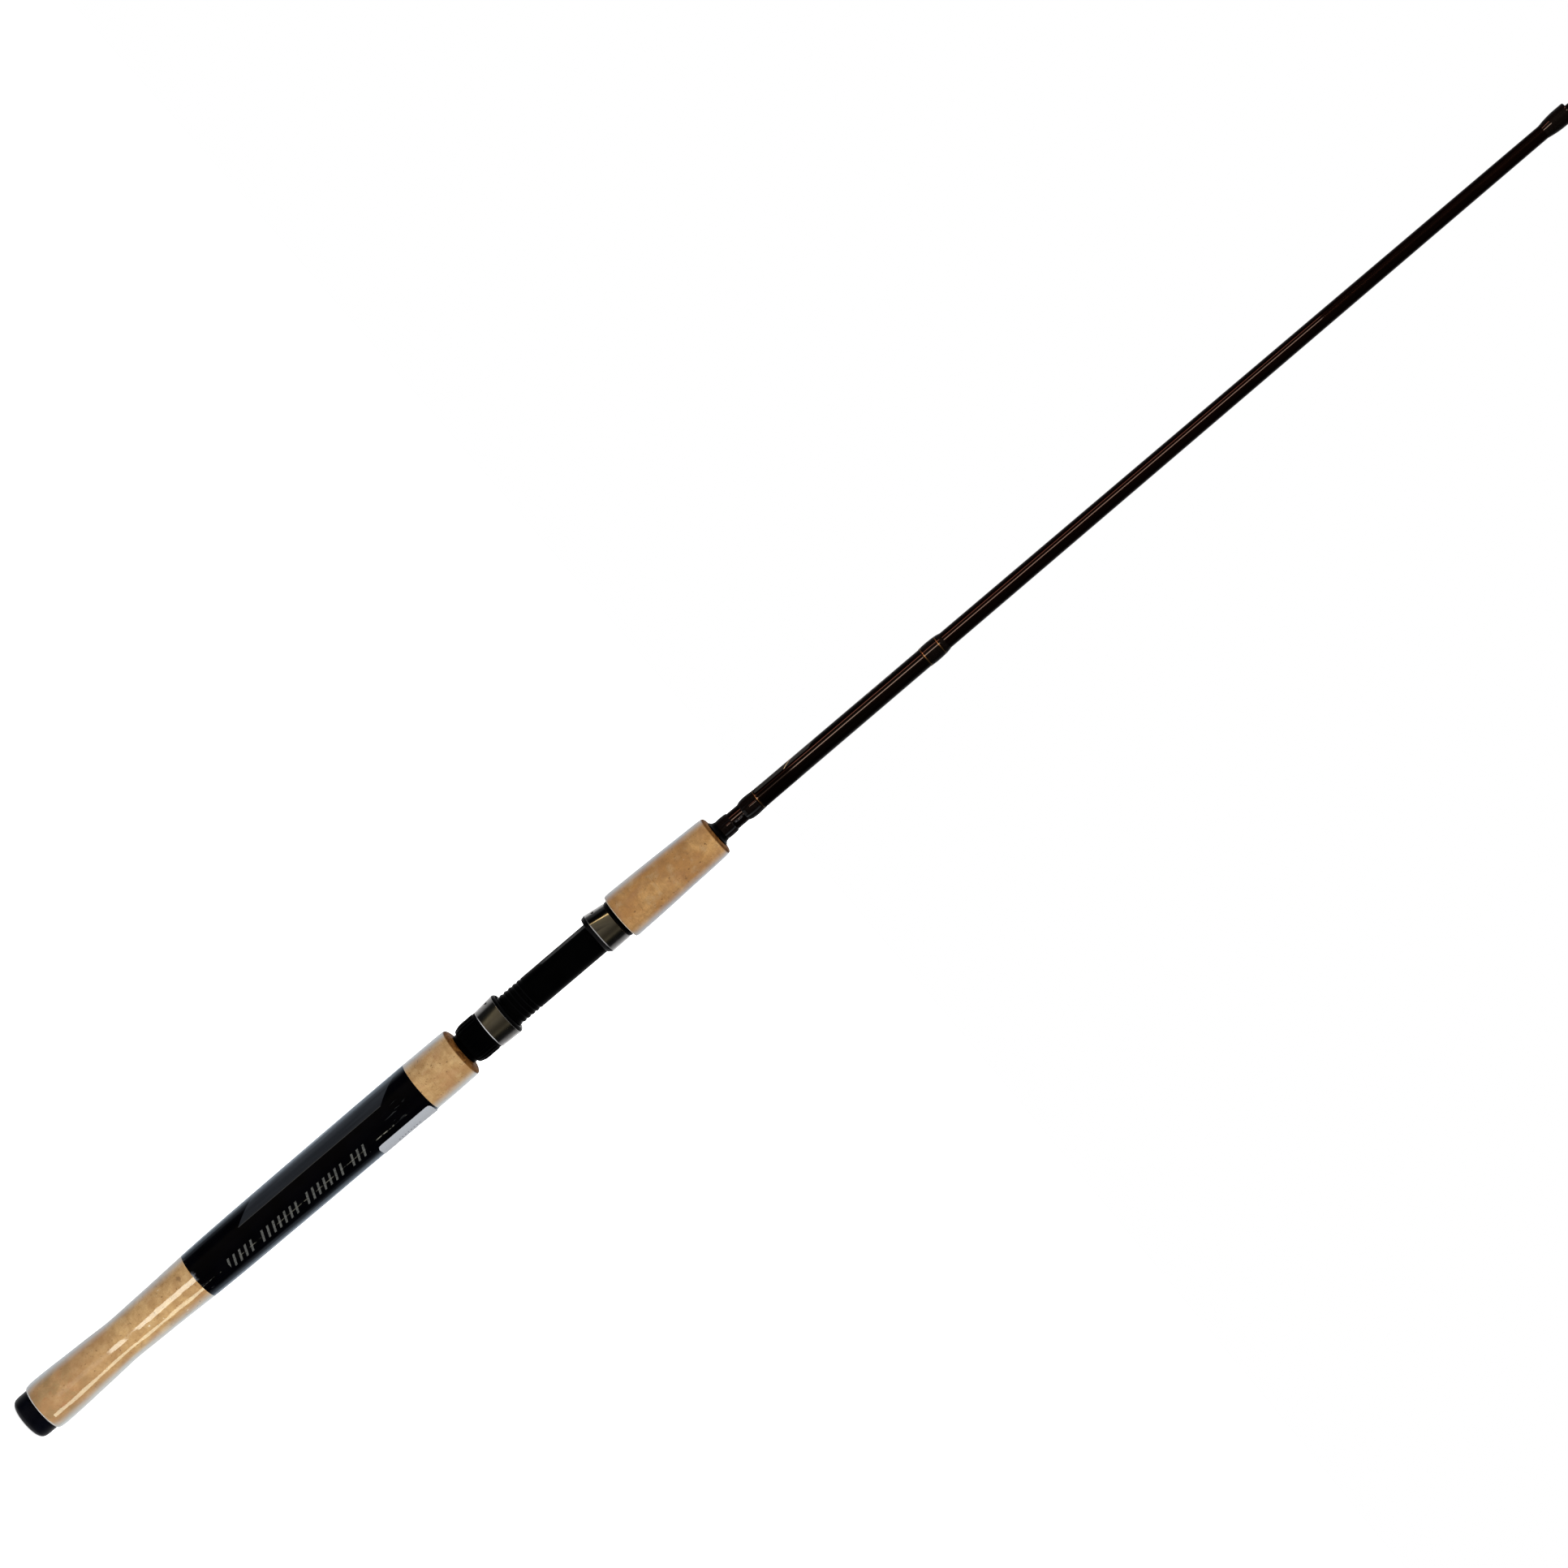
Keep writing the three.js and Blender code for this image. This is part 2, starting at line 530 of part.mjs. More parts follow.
addSleeve('label_coat', LABEL, [[485.5, 5.45], [489.5, 5.37], [540, 5.28], [594.6, 5.2]]);
addSleeve('deco_trim_rear', GOLD, [[594.7, 5.38], [596.3, 5.42]]);
addSleeve('deco_wrap', EPOXY, [[596.4, 5.42], [599.7, 5.57], [603.2, 5.5], [604.1, 5.4]]);
addSleeve('deco_trim_front', GOLD, [[604.2, 5.42], [605.6, 5.34]]);
addSleeve('deco_finish_wrap', EPOXY, [[605.7, 5.26], [606.6, 5.1], [608.2, 4.82]]);
addSleeve('ferrule_wrap', EPOXY,
  [[1005.1, 4.1], [1008, 4.55], [1014, 5.1], [1020.4, 5.12], [1021.3, 4.95]]);

// ---- line guides ----------------------------------------------------------------------------
// size: outside diameter of the hoop; height: its centre above the blank's axis;
// reach: from the hoop back to the rear foot; foot: length of a foot; wireRadius: of the legs
const GUIDES = [
  { z: 1091, size: 25, height: 21.5, feet: 2, reach: 15, foot: 13, wireRadius: 0.8 },
  { z: 1306, size: 16, height: 14.6, feet: 2, reach: 11, foot: 11, wireRadius: 0.7 },
  { z: 1486, size: 12, height: 11.6, feet: 2, reach: 8.5, foot: 9.5, wireRadius: 0.62 },
  { z: 1636, size: 10, height: 9.6, feet: 1, reach: 6.5, foot: 10, wireRadius: 0.55 },
  { z: 1766, size: 8, height: 7.9, feet: 1, reach: 5.5, foot: 9.5, wireRadius: 0.5 },
  { z: 1881, size: 7, height: 6.9, feet: 1, reach: 5, foot: 9, wireRadius: 0.48 }];
const HOOP_WALL = 0.75;
const FOOT_THICKNESS = 0.75;
const FOOT_CLEARANCE = 0.1;           // between the blank and a foot
const FOOT_OVERLAP = 0.6;             // a foot runs this far under its legs
const WRAP_OVERHANG = 2.2;            // a wrap runs this far past the foot's free end
const WRAP_SETBACK = 1.2;             // and stops this far short of the legs
const LEG_ANGLE = 38 * DEGREE;        // where the side legs leave the hoop

// a shape turned about the axis of a guide's hoop, `place` being { height, z, segments }
function turnedAt({ height, z, segments }, points) {
  const geometry = turned(points, segments);
  geometry.translate(-height, 0, z);
  return geometry;
}
const hoopAt = (place, inner, outer, half) => turnedAt(place,
  [[inner, -half], [outer, -half], [outer, half], [inner, half], [inner, -half]]);

// the round hole that a guide's ring is pressed into
const seatAt = (place, radius, half) => turnedAt(place,
  [[0, -half], [radius, -half], [radius, half], [0, half]]);

// ceramic ring, thickest midway between its inner and outer radius
function ringAt(place, inner, outer, half) {
  const middle = (inner + outer) / 2;
  return turnedAt(place, [
    [inner, -half * 0.35], [middle, -half], [outer, -half * 0.6], [outer, half * 0.6],
    [middle, half], [inner, half * 0.35], [inner, -half * 0.35]]);
}

// a wrap on the tip blank, raised on the -X side over a guide's foot
function guideWrap(z0, z1, footTop, footHalf) {
  const cornerRadius = Math.hypot(footTop, footHalf) / Math.cos(Math.PI / TIP_SEGMENTS);
  const lift = cornerRadius - tipRadius(z1) + 0.02;
  const taper = 1.4;
  const raised = (z, extra) => (angle) =>
    tipRadius(z) + extra + lift * hump(angle, { at: REEL_SIDE, flat: 46, edge: 68 });
  const edge = GLUE_GAP + 0.12;
  return looped([
    [z0, raised(z0, edge)], [z0 + taper, raised(z0, 0.3)],
    [z1 - taper, raised(z1, 0.3)], [z1, raised(z1, edge)],
    [z1, raised(z1, GLUE_GAP)], [z0, raised(z0, GLUE_GAP)]], TIP_SEGMENTS);
}

function addGuide({ z, size, height, feet, reach, foot, wireRadius }, number) {
  const hoopRadius = size / 2;
  const hoopInner = hoopRadius - HOOP_WALL;
  const hoopHalf = 0.55 + hoopRadius * 0.03;
  const place = { height, z, segments: size > 14 ? 24 : 16 };
  const footHalf = Math.min(1.2, 0.5 + tipRadius(z) * 0.35);
  const footBox = (base, zRange) =>
    box([-base - FOOT_THICKNESS, -base], [-footHalf, footHalf], zRange);

  // towards the butt: two side legs that meet in one foot
  const rearZ = z - reach;
  const rearBase = tipRadius(rearZ - foot) + FOOT_CLEARANCE;
  const legRadius = hoopRadius - 0.35;
  const legX = -height + legRadius * Math.sin(LEG_ANGLE);
  const parts = [
    hoopAt(place, hoopInner, hoopRadius, hoopHalf),
    footBox(rearBase, [rearZ - foot, rearZ + FOOT_OVERLAP]),
    ...wirePair([
      [legX, legRadius * Math.cos(LEG_ANGLE), z - 0.1],
      [legX + (height - legRadius - rearBase) * 0.35, legRadius * 0.62, z - reach * 0.45],
      [-rearBase - 0.45, footHalf - 0.3, rearZ + 0.2]], wireRadius, 5)];

  // towards the tip: two close braces from the bottom of the hoop to the second foot
  if (feet === 2) {
    const frontZ = z + reach * 0.72;
    const frontBase = tipRadius(frontZ) + FOOT_CLEARANCE;
    parts.push(
      footBox(frontBase, [frontZ - FOOT_OVERLAP, frontZ + foot]),
      ...wirePair([
        [-height + legRadius, hoopRadius * 0.14, z + 0.1],
        [(-height + hoopRadius - frontBase) * 0.5, hoopRadius * 0.09, z + reach * 0.42],
        [-frontBase - 0.4, footHalf - 0.35, frontZ]], wireRadius, 4));
    add(`guide_${number}_front_wrap`, guideWrap(frontZ + WRAP_SETBACK,
      frontZ + foot + WRAP_OVERHANG, frontBase + FOOT_THICKNESS, footHalf), EPOXY);
  }
  add(`guide_${number}_frame`, carved(parts, [seatAt(place, hoopInner, hoopHalf + 0.9)]), WIRE);
  add(`guide_${number}_rear_wrap`, guideWrap(rearZ - foot - WRAP_OVERHANG,
    rearZ - WRAP_SETBACK, rearBase + FOOT_THICKNESS, footHalf), EPOXY);
  add(`guide_${number}_ring`, ringAt(place,
    hoopRadius * 0.76 - 0.35, hoopInner - GLUE_GAP, hoopHalf + 0.45), CERAMIC);
}
GUIDES.forEach((guide, i) => addGuide(guide, i + 1));

// ---- tip-top --------------------------------------------------------------------------------
const TUBE_Z0 = 1964.4;
const TUBE_Z1 = 1977.4;
const TUBE_FLOOR_Z = TIP_Z + 0.2;     // upper end of the tube's bore
const TUBE_RADIUS = tipRadius(TUBE_Z0) + 0.5;
const TUBE_BORE = tipRadius(TUBE_Z0) + GLUE_GAP;
const TOP = { height: 4.2, z: 1980.05, segments: 16 };
const TOP_RADIUS = 3.3;
const TOP_INNER = TOP_RADIUS - 0.6;

function tipTopFrame() {
  const tube = turned([
    [TUBE_BORE, TUBE_Z0], [TUBE_RADIUS, TUBE_Z0], [TUBE_RADIUS, TUBE_Z1 - 0.6],
    [TUBE_RADIUS - 0.4, TUBE_Z1], [0, TUBE_Z1], [0, TUBE_FLOOR_Z], [TUBE_BORE, TUBE_FLOOR_Z],
    [TUBE_BORE, TUBE_Z0]], TIP_SEGMENTS);
  const hoop = hoopAt(TOP, TOP_INNER, TOP_RADIUS, 0.6);
  const legs = wirePair([
    [-TOP.height, TOP_RADIUS - 0.25, TOP.z],
    [-TOP.height * 0.62, TOP_INNER, TOP.z - 4],
    [-0.9, 0.7, TUBE_Z0 + 3.5]], 0.42, 5);
  const brace = wire([
    [-TOP.height + TOP_RADIUS - 0.25, 0, TOP.z],
    [-0.4, 0, TOP.z - 1.2],
    [-0.2, 0, TUBE_Z1 - 1.2]], 0.5, 4);
  return carved([tube, hoop, ...legs, brace], [seatAt(TOP, TOP_INNER, 1.2)]);
}
add('tip_top_frame', tipTopFrame(), WIRE);
add('tip_top_ring', ringAt(TOP, 1.55, TOP_INNER - GLUE_GAP, 0.95), CERAMIC);
add('tip_top_wrap', sleeveOn(tipRadius, [
  [1957.4, tipRadius(1957) + 0.16], [1958.6, tipRadius(1959) + 0.32],
  [1963.2, tipRadius(1963) + 0.4], [1964.2, tipRadius(1964) + 0.3]],
{ segments: TIP_SEGMENTS }), EPOXY);

export default rod;
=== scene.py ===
"""A two-piece fishing rod, standing upright with its butt cap on the floor.

The rod's axis is Z: z = 0 at the butt, about 1981 mm at the tip. The reel and the line guides
sit on the -X side. "Rear" means towards the butt, "front" towards the tip. Meshes are worked
out in millimetres and written in metres; floor, lights and camera are placed in metres.
"""
import bpy
import math
from functools import cached_property, partial, partialmethod, reduce
from mathutils import Vector, Matrix, noise


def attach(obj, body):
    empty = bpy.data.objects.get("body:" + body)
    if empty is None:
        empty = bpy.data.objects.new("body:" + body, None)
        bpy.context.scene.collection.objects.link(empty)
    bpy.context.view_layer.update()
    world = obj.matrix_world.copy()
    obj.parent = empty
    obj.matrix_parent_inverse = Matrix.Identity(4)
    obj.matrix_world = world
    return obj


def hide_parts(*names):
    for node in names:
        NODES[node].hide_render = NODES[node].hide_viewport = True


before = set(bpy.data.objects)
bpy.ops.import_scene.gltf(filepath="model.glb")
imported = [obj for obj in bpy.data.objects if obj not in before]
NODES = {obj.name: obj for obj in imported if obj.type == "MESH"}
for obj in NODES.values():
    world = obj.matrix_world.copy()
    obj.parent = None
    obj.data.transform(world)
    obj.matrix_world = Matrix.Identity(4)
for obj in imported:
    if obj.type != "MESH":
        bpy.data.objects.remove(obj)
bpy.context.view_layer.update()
MM = 0.001
TAU = 2 * math.pi
ROOT, HOOD, NUT, TIP = "butt_section", "sliding_hood", "locking_nut", "tip_section"


def pick(fine):
    return fine


# ---- dimensions, in millimetres and degrees ---------------------------------------------------
REEL_SIDE = 180.0            # angle about the axis of the reel and the guides
KEEPER_ANGLE = 261.0         # angle of the hook keeper
CAMERA_AZIMUTH = -17.0       # the camera stands this far round from the -Y side
CLEARANCE = 0.05             # between the blank and what sits on it
SEAT_SEGMENTS = pick(192)

# (z, radius) stations of the two tubes
BLANK_OUTER = [(0, 5.5), (470, 4.86), (608.4, 4.67), (1004.3, 3.93), (1100, 3.9)]
BLANK_BORE = [(0, 4.3), (940, 3.1), (959, 3.1), (1100, 3.37)]
TIP_OUTER = [(959, 3.0), (1021.4, 3.12), (1300, 2.45), (1650, 1.6), (1981, 0.85)]
# (z, radius) stations of the two cork grips
GRIP = [
    (10.5, 12.75), (11.6, 13.35), (14.9, 13.65), (26.4, 13.42), (38.7, 12.87), (51.0, 12.4),
    (64.0, 11.86), (75.6, 12.12), (87.9, 12.42), (100.2, 12.85), (113.6, 13.31), (124.7, 13.58),
    (149.3, 13.87), (186.2, 14.05), (223.1, 14.18), (260.9, 14.25), (272.3, 14.22),
    (284.6, 14.05), (286.9, 13.85), (287.9, 13.4), (288.6, 12.4), (289.0, 11.2)]
FOREGRIP = [
    (393.2, 12.6), (394.0, 13.05), (395.2, 13.1), (408, 12.85), (424, 12.4), (440, 11.9),
    (453.2, 11.4), (455.6, 11.1), (456.5, 10.6), (456.95, 9.7), (457.1, 8.9)]
SLEEVE_FOOT, SLEEVE_TOP = 113.6, 260.9

# reel seat barrel and its thread
SEAT_FOOT, SEAT_TOP = 289.2, 393.0
SEAT_BORE = 7.0
THREAD_FOOT, THREAD_PITCH = 293.0, 2.83
THREAD_ROOT, THREAD_CREST = 8.64, 9.05
FLAT_START, FLAT_FULL, FLAT_DEPTH = 346.2, 348.4, 8.6      # flat for the reel's foot
KEYWAY_TOP, KEYWAY_HALF_WIDTH, KEYWAY_FLOOR = 341.0, 2.0, 8.12
# hoods: the rear one's cover ends below its lip, the front one's starts above its lip
REAR_FOOT, REAR_LIP = 305.6, 317.3
REAR_TOP = REAR_LIP + 1.7
FRONT_FOOT, FRONT_TOP = 377.0, 390.6
FRONT_LIP = FRONT_FOOT + 2.4
DIMPLE_ANGLE, REAR_DIMPLE_Z, FRONT_DIMPLE_Z = 186.0, 313.3, 383.9
DIMPLE_RADIUS, DIMPLE_DEPTH = 0.95, 0.6
COVER_THICKNESS, COVER_EDGE = 0.75, 0.30
NUT_FOOT, NUT_RIBS = 291.75, 24
FERRULE_END = 1021.4         # front end of the butt section's tube


# ---- mesh helpers -----------------------------------------------------------------------------
def lerp(start, end, share):
    return start + (end - start) * share


def clamp(value):
    return max(0.0, min(1.0, value))


def smooth(value, start, end):
    share = clamp((value - start) / (end - start))
    return share * share * (3 - 2 * share)


def linear(stations, z):
    """Straight lines through (z, radius) stations."""
    if z <= stations[0][0]:
        return stations[0][1]
    for (z0, r0), (z1, r1) in zip(stations, stations[1:]):
        if z <= z1:
            return r0 + (r1 - r0) * (z - z0) / (z1 - z0)
    return stations[-1][1]


def spline(stations, z):
    """Monotone cubic through (z, radius) stations."""
    if z <= stations[0][0]:
        return stations[0][1]
    if z >= stations[-1][0]:
        return stations[-1][1]
    slopes = [(r1 - r0) / (z1 - z0) for (z0, r0), (z1, r1) in zip(stations, stations[1:])]

    def tangent(i):
        if i == 0:
            return slopes[0]
        if i == len(slopes):
            return slopes[-1]
        below, above = slopes[i - 1], slopes[i]
        return 2 * below * above / (below + above) if below * above > 0 else 0.0

    i = max(k for k in range(len(slopes)) if stations[k][0] <= z)
    (z0, r0), (z1, r1) = stations[i], stations[i + 1]
    span = z1 - z0
    s = (z - z0) / span
    m0, m1 = tangent(i) * span, tangent(i + 1) * span
    return ((2 * s ** 3 - 3 * s ** 2 + 1) * r0 + (s ** 3 - 2 * s ** 2 + s) * m0
            + (-2 * s ** 3 + 3 * s ** 2) * r1 + (s ** 3 - s ** 2) * m1)


def blank_radius(z):
    return linear(BLANK_OUTER, z)


def tip_radius(z):
    return linear(TIP_OUTER, z)


def finish_mesh(name, verts, faces, look, node=None, body=ROOT, sharp=35):
    """Write a smooth mesh; look is (material, slot name), whose slot name is not used; sharp the
    crease angle or 0.
    """
    material, slot = look
    mesh = bpy.data.meshes.new(name)
    mesh.from_pydata([(x * MM, y * MM, z * MM) for x, y, z in verts], [], faces)
    mesh.validate()
    mesh.materials.append(material)
    for polygon in mesh.polygons:
        polygon.use_smooth = True
    if sharp:
        mesh.set_sharp_from_angle(angle=math.radians(sharp))
    obj = bpy.data.objects.new(name, mesh)
    bpy.context.scene.collection.objects.link(obj)
    if node:
        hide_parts(node)
    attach(obj, body)
    return obj


def rounded(profile, radius, steps):
    """Round a closed profile's corners; a point may carry its own radius as a third number."""
    out = []
    for i, corner in enumerate(profile):
        if corner[0] <= 1e-6:
            out.append((corner[0], corner[1]))
            continue
        size = corner[2] if len(corner) > 2 else radius
        ends = []
        sides = []
        for other in (profile[i - 1], profile[(i + 1) % len(profile)]):
            side = (other[0] - corner[0], other[1] - corner[1])
            sides.append((side, math.hypot(*side)))
        cut = min(size, sides[0][1] * 0.45, sides[1][1] * 0.45)
        for side, length in sides:
            ends.append([corner[n] + side[n] / length * cut for n in (0, 1)])
        first, last = ends
        for j in range(steps + 1):
            t = j / steps
            out.append(tuple((1 - t) ** 2 * first[n] + 2 * t * (1 - t) * corner[n]
                             + t * t * last[n] for n in (0, 1)))
    return out


def split_long(profile, step):
    """Divide the long stretches of an open profile."""
    out = []
    for start, end in zip(profile, profile[1:]):
        count = max(1, int(math.hypot(end[0] - start[0], end[1] - start[1]) / step))
        for j in range(count):
            out.append((lerp(start[0], end[0], j / count), lerp(start[1], end[1], j / count)))
    return out + [profile[-1]]


def ring_faces(rings):
    """Faces between neighbouring rings of vertex numbers; a ring of one is a pole."""
    faces = []
    for lower, upper in zip(rings, rings[1:]):
        count = max(len(lower), len(upper))
        for k in range(count):
            l = (k + 1) % count
            if len(lower) == 1:
                faces.append((lower[0], upper[l], upper[k]))
            elif len(upper) == 1:
                faces.append((lower[k], lower[l], upper[0]))
            else:
                faces.append((lower[k], lower[l], upper[l], upper[k]))
    return faces


def lathe(profile, segments, wobble=None, centre=(0, 0, 0)):
    """Revolve (radius, z) points. Ends on the axis become poles, otherwise the profile closes."""
    verts, rings = [], []
    for radius, z in profile:
        count = 1 if radius < 1e-6 else segments
        rings.append(range(len(verts), len(verts) + count))
        if count == 1:
            verts.append((centre[0], centre[1], z + centre[2]))
            continue
        for k in range(segments):
            angle = k / segments * TAU
            reach = radius + (wobble(angle, z) if wobble else 0)
            verts.append((centre[0] + reach * math.cos(angle),
                          centre[1] + reach * math.sin(angle), z + centre[2]))
    if not len(rings[0]) == len(rings[-1]) == 1:
        rings.append(rings[0])
    faces = ring_faces(rings)
    # a profile that runs down its outside would face inwards
    area = sum(p[0] * q[1] - q[0] * p[1] for p, q in zip(profile, profile[1:] + profile[:1]))
    if area < 0:
        faces = [tuple(reversed(face)) for face in faces]
    return verts, faces


def turned(name, profile, look, node=None, body=ROOT, segments=96, wobble=None,
           centre=(0, 0, 0), sharp=35):
    verts, faces = lathe(profile, segments, wobble, centre)
    return finish_mesh(name, verts, faces, look, node, body, sharp)


def looped(name, rows, look, node, body=ROOT, segments=SEAT_SEGMENTS, sharp=35):
    """Rows of (z, radius function of the angle), the last joined to the first."""
    verts = []
    for z, radius_at in rows:
        for k in range(segments):
            angle = k / segments * TAU
            radius = radius_at(angle)
            verts.append((radius * math.cos(angle), radius * math.sin(angle), z))
    rings = [range(j * segments, (j + 1) * segments) for j in range(len(rows))]
    faces = ring_faces(rings + rings[:1])
    return finish_mesh(name, verts, faces, look, node, body, sharp)


def catmull(points, steps=8):
    """Smooth curve through the points."""
    points = [Vector(point) for point in points]
    last = len(points) - 1
    out = []
    for i in range(last):
        p0, p1, p2, p3 = points[max(i - 1, 0)], points[i], points[i + 1], points[min(i + 2, last)]
        for j in range(steps):
            t = j / steps
            out.append(0.5 * ((2 * p1) + (p2 - p0) * t + (2 * p0 - 5 * p1 + 4 * p2 - p3) * t * t
                              + (3 * p1 - p0 - 3 * p2 + p3) * t ** 3))
    out.append(points[-1])
    return out


def wire(path, radius_at, sides):
    """Round wire with domed ends; radius_at takes the share of its length."""
    lengths = [0.0]
    for start, end in zip(path, path[1:]):
        lengths.append(lengths[-1] + (end - start).length)
    last = len(path) - 1
    tangents = [(path[min(i + 1, last)] - path[max(i - 1, 0)]).normalized()
                for i in range(len(path))]
    reference = Vector((0, 1, 0)) if abs(tangents[0].y) < 0.8 else Vector((1, 0, 0))
    across = (reference - tangents[0] * reference.dot(tangents[0])).normalized()
    rings = []
    for i, (centre, tangent) in enumerate(zip(path, tangents)):
        across = (across - tangent * across.dot(tangent)).normalized()
        radius = radius_at(lengths[i] / lengths[-1])

        def ring(along, width):
            middle = centre + tangent * radius * along
            other = tangent.cross(across)
            return [middle + (across * math.cos(k / sides * TAU)
                              + other * math.sin(k / sides * TAU)) * (radius * width)
                    for k in range(sides)]

        if i == 0:
            rings += [ring(-0.75, 0.66), ring(-0.35, 0.93)]
            start = centre - tangent * radius * 0.98
        rings.append(ring(0, 1))
        if i == last:
            rings += [ring(0.35, 0.93), ring(0.75, 0.66)]
            end = centre + tangent * radius * 0.98
    verts = [tuple(vert) for ring_verts in rings for vert in ring_verts]
    start_pole, end_pole = len(verts), len(verts) + 1
    verts += [tuple(start), tuple(end)]
    faces = []
    top = (len(rings) - 1) * sides
    for lower in range(0, top, sides):
        upper = lower + sides
        for k in range(sides):
            l = (k + 1) % sides
            faces.append((lower + l, upper + l, upper + k, lower + k))
    for k in range(sides):
        l = (k + 1) % sides
        faces.append((l, k, start_pole))
        faces.append((top + k, top + l, end_pole))
    return verts, faces


def strut(points, radius, sides):
    return wire(catmull(points), lambda share: radius, sides)


def welded(name, parts, node, voxel):
    """Join overlapping wire parts into one skin, with soft fillets where they meet."""
    verts, faces = [], []
    for part_verts, part_faces in parts:
        base = len(verts)
        verts += part_verts
        faces += [tuple(i + base for i in face) for face in part_faces]
    obj = finish_mesh(name, verts, faces, WIRE, node, TIP, sharp=0)
    rough = obj.data
    temporary = bpy.data.objects.new(name + "_tmp", rough.copy())
    bpy.context.scene.collection.objects.link(temporary)
    weld = temporary.modifiers.new("weld", "REMESH")
    weld.mode = "VOXEL"
    weld.voxel_size = voxel * pick(1.0) * MM
    weld.use_smooth_shade = True
    soft = temporary.modifiers.new("soft", "SMOOTH")
    soft.factor = 0.5
    soft.iterations = 2
    depsgraph = bpy.context.evaluated_depsgraph_get()
    skin = bpy.data.meshes.new_from_object(temporary.evaluated_get(depsgraph))
    bpy.data.objects.remove(temporary)
    skin.name = name
    skin.materials.clear()
    skin.materials.append(WIRE[0])
    for polygon in skin.polygons:
        polygon.use_smooth = True
        polygon.material_index = 0
    obj.data = skin
    bpy.data.meshes.remove(rough)


# ---- radius functions of the angle, for looped rows -------------------------------------------
def degrees_from(angle, middle):
    return abs(((angle * 180 / math.pi - middle) % 360 + 540) % 360 - 180)


def hump(angle, middle, flat, edge):
    """1 within flat degrees of the middle, falling softly to 0 at edge degrees."""
    away = degrees_from(angle, middle)
    if away <= flat:
        return 1.0
    if away >= edge:
        return 0.0
    return 0.5 + 0.5 * math.cos(math.pi * (away - flat) / (edge - flat))


def crisp(angle, flat, edge):
    """Panel on the reel side with a firm crease at its foot and a soft shoulder."""
    share = clamp((edge - degrees_from(angle, REEL_SIDE)) / (edge - flat))
    return 1 - (1 - share) ** 2.2


def raised(radius, lift, middle, flat, edge):
    return lambda angle: radius + lift * hump(angle, middle, flat, edge)


def offset(radius_at, distance):
    return lambda angle: radius_at(angle) + distance


# ---- shader helpers ---------------------------------------------------------------------------
class Graph:
    """Adds nodes to a shader tree; most methods give the new node's output."""

    def __init__(self, tree):
        self.tree = tree
        tree.nodes.clear()

    def put(self, socket, value):
        if isinstance(value, bpy.types.NodeSocket):
            self.tree.links.new(value, socket)
        elif socket.type == "RGBA":
            socket.default_value = (*value, 1)
        else:
            socket.default_value = value

    def node(self, kind, *inputs, **settings):
        """New node; inputs fill its sockets in order, None leaves one alone."""
        node = self.tree.nodes.new(kind)
        for key, value in settings.items():
            setattr(node, key, value)
        for socket, value in zip(node.inputs, inputs):
            if value is not None:
                self.put(socket, value)
        return node

    def calc(self, operation, first, second=0.0, third=None):
        return self.node("ShaderNodeMath", first, second, third, operation=operation).outputs[0]

    add = partialmethod(calc, "ADD")
    sub = partialmethod(calc, "SUBTRACT")
    mul = partialmethod(calc, "MULTIPLY")
    div = partialmethod(calc, "DIVIDE")
    max = partialmethod(calc, "MAXIMUM")
    abs = partialmethod(calc, "ABSOLUTE")
    fract = partialmethod(calc, "FRACT")

    def vector(self, operation, *inputs):
        return self.node("ShaderNodeVectorMath", *inputs, operation=operation).outputs

    def scale(self, vector, factor):
        return self.vector("SCALE", vector, None, None, factor)[0]

    def ramp(self, value, lo, hi, first=0.0, last=1.0):
        """Smooth change from first, at lo, to last, at hi; lo may be the larger."""
        if lo >= hi:
            lo, hi, first, last = hi, lo, last, first
        return self.node("ShaderNodeMapRange", value, lo, hi, first, last,
                         interpolation_type="SMOOTHSTEP").outputs[0]

    def band(self, value, lo, hi, soft):
        """1 between lo and hi, with edges soft to either side."""
        return self.mul(self.ramp(value, lo - soft, lo + soft),
                        self.ramp(value, hi + soft, hi - soft))

    def mix(self, share, under, over):
        node = self.node("ShaderNodeMix", share, data_type="RGBA")
        self.put(node.inputs[6], under)
        self.put(node.inputs[7], over)
        return node.outputs[2]

    def gradient(self, value, stops):
        """Colour ramp through (position, colour) stops."""
        node = self.node("ShaderNodeValToRGB", value)
        elements = node.color_ramp.elements
        while len(elements) < len(stops):
            elements.new(0.5)
        for element, (position, colour) in zip(elements, stops):
            element.position = position
            element.color = (*colour, 1)
        return node.outputs[0]


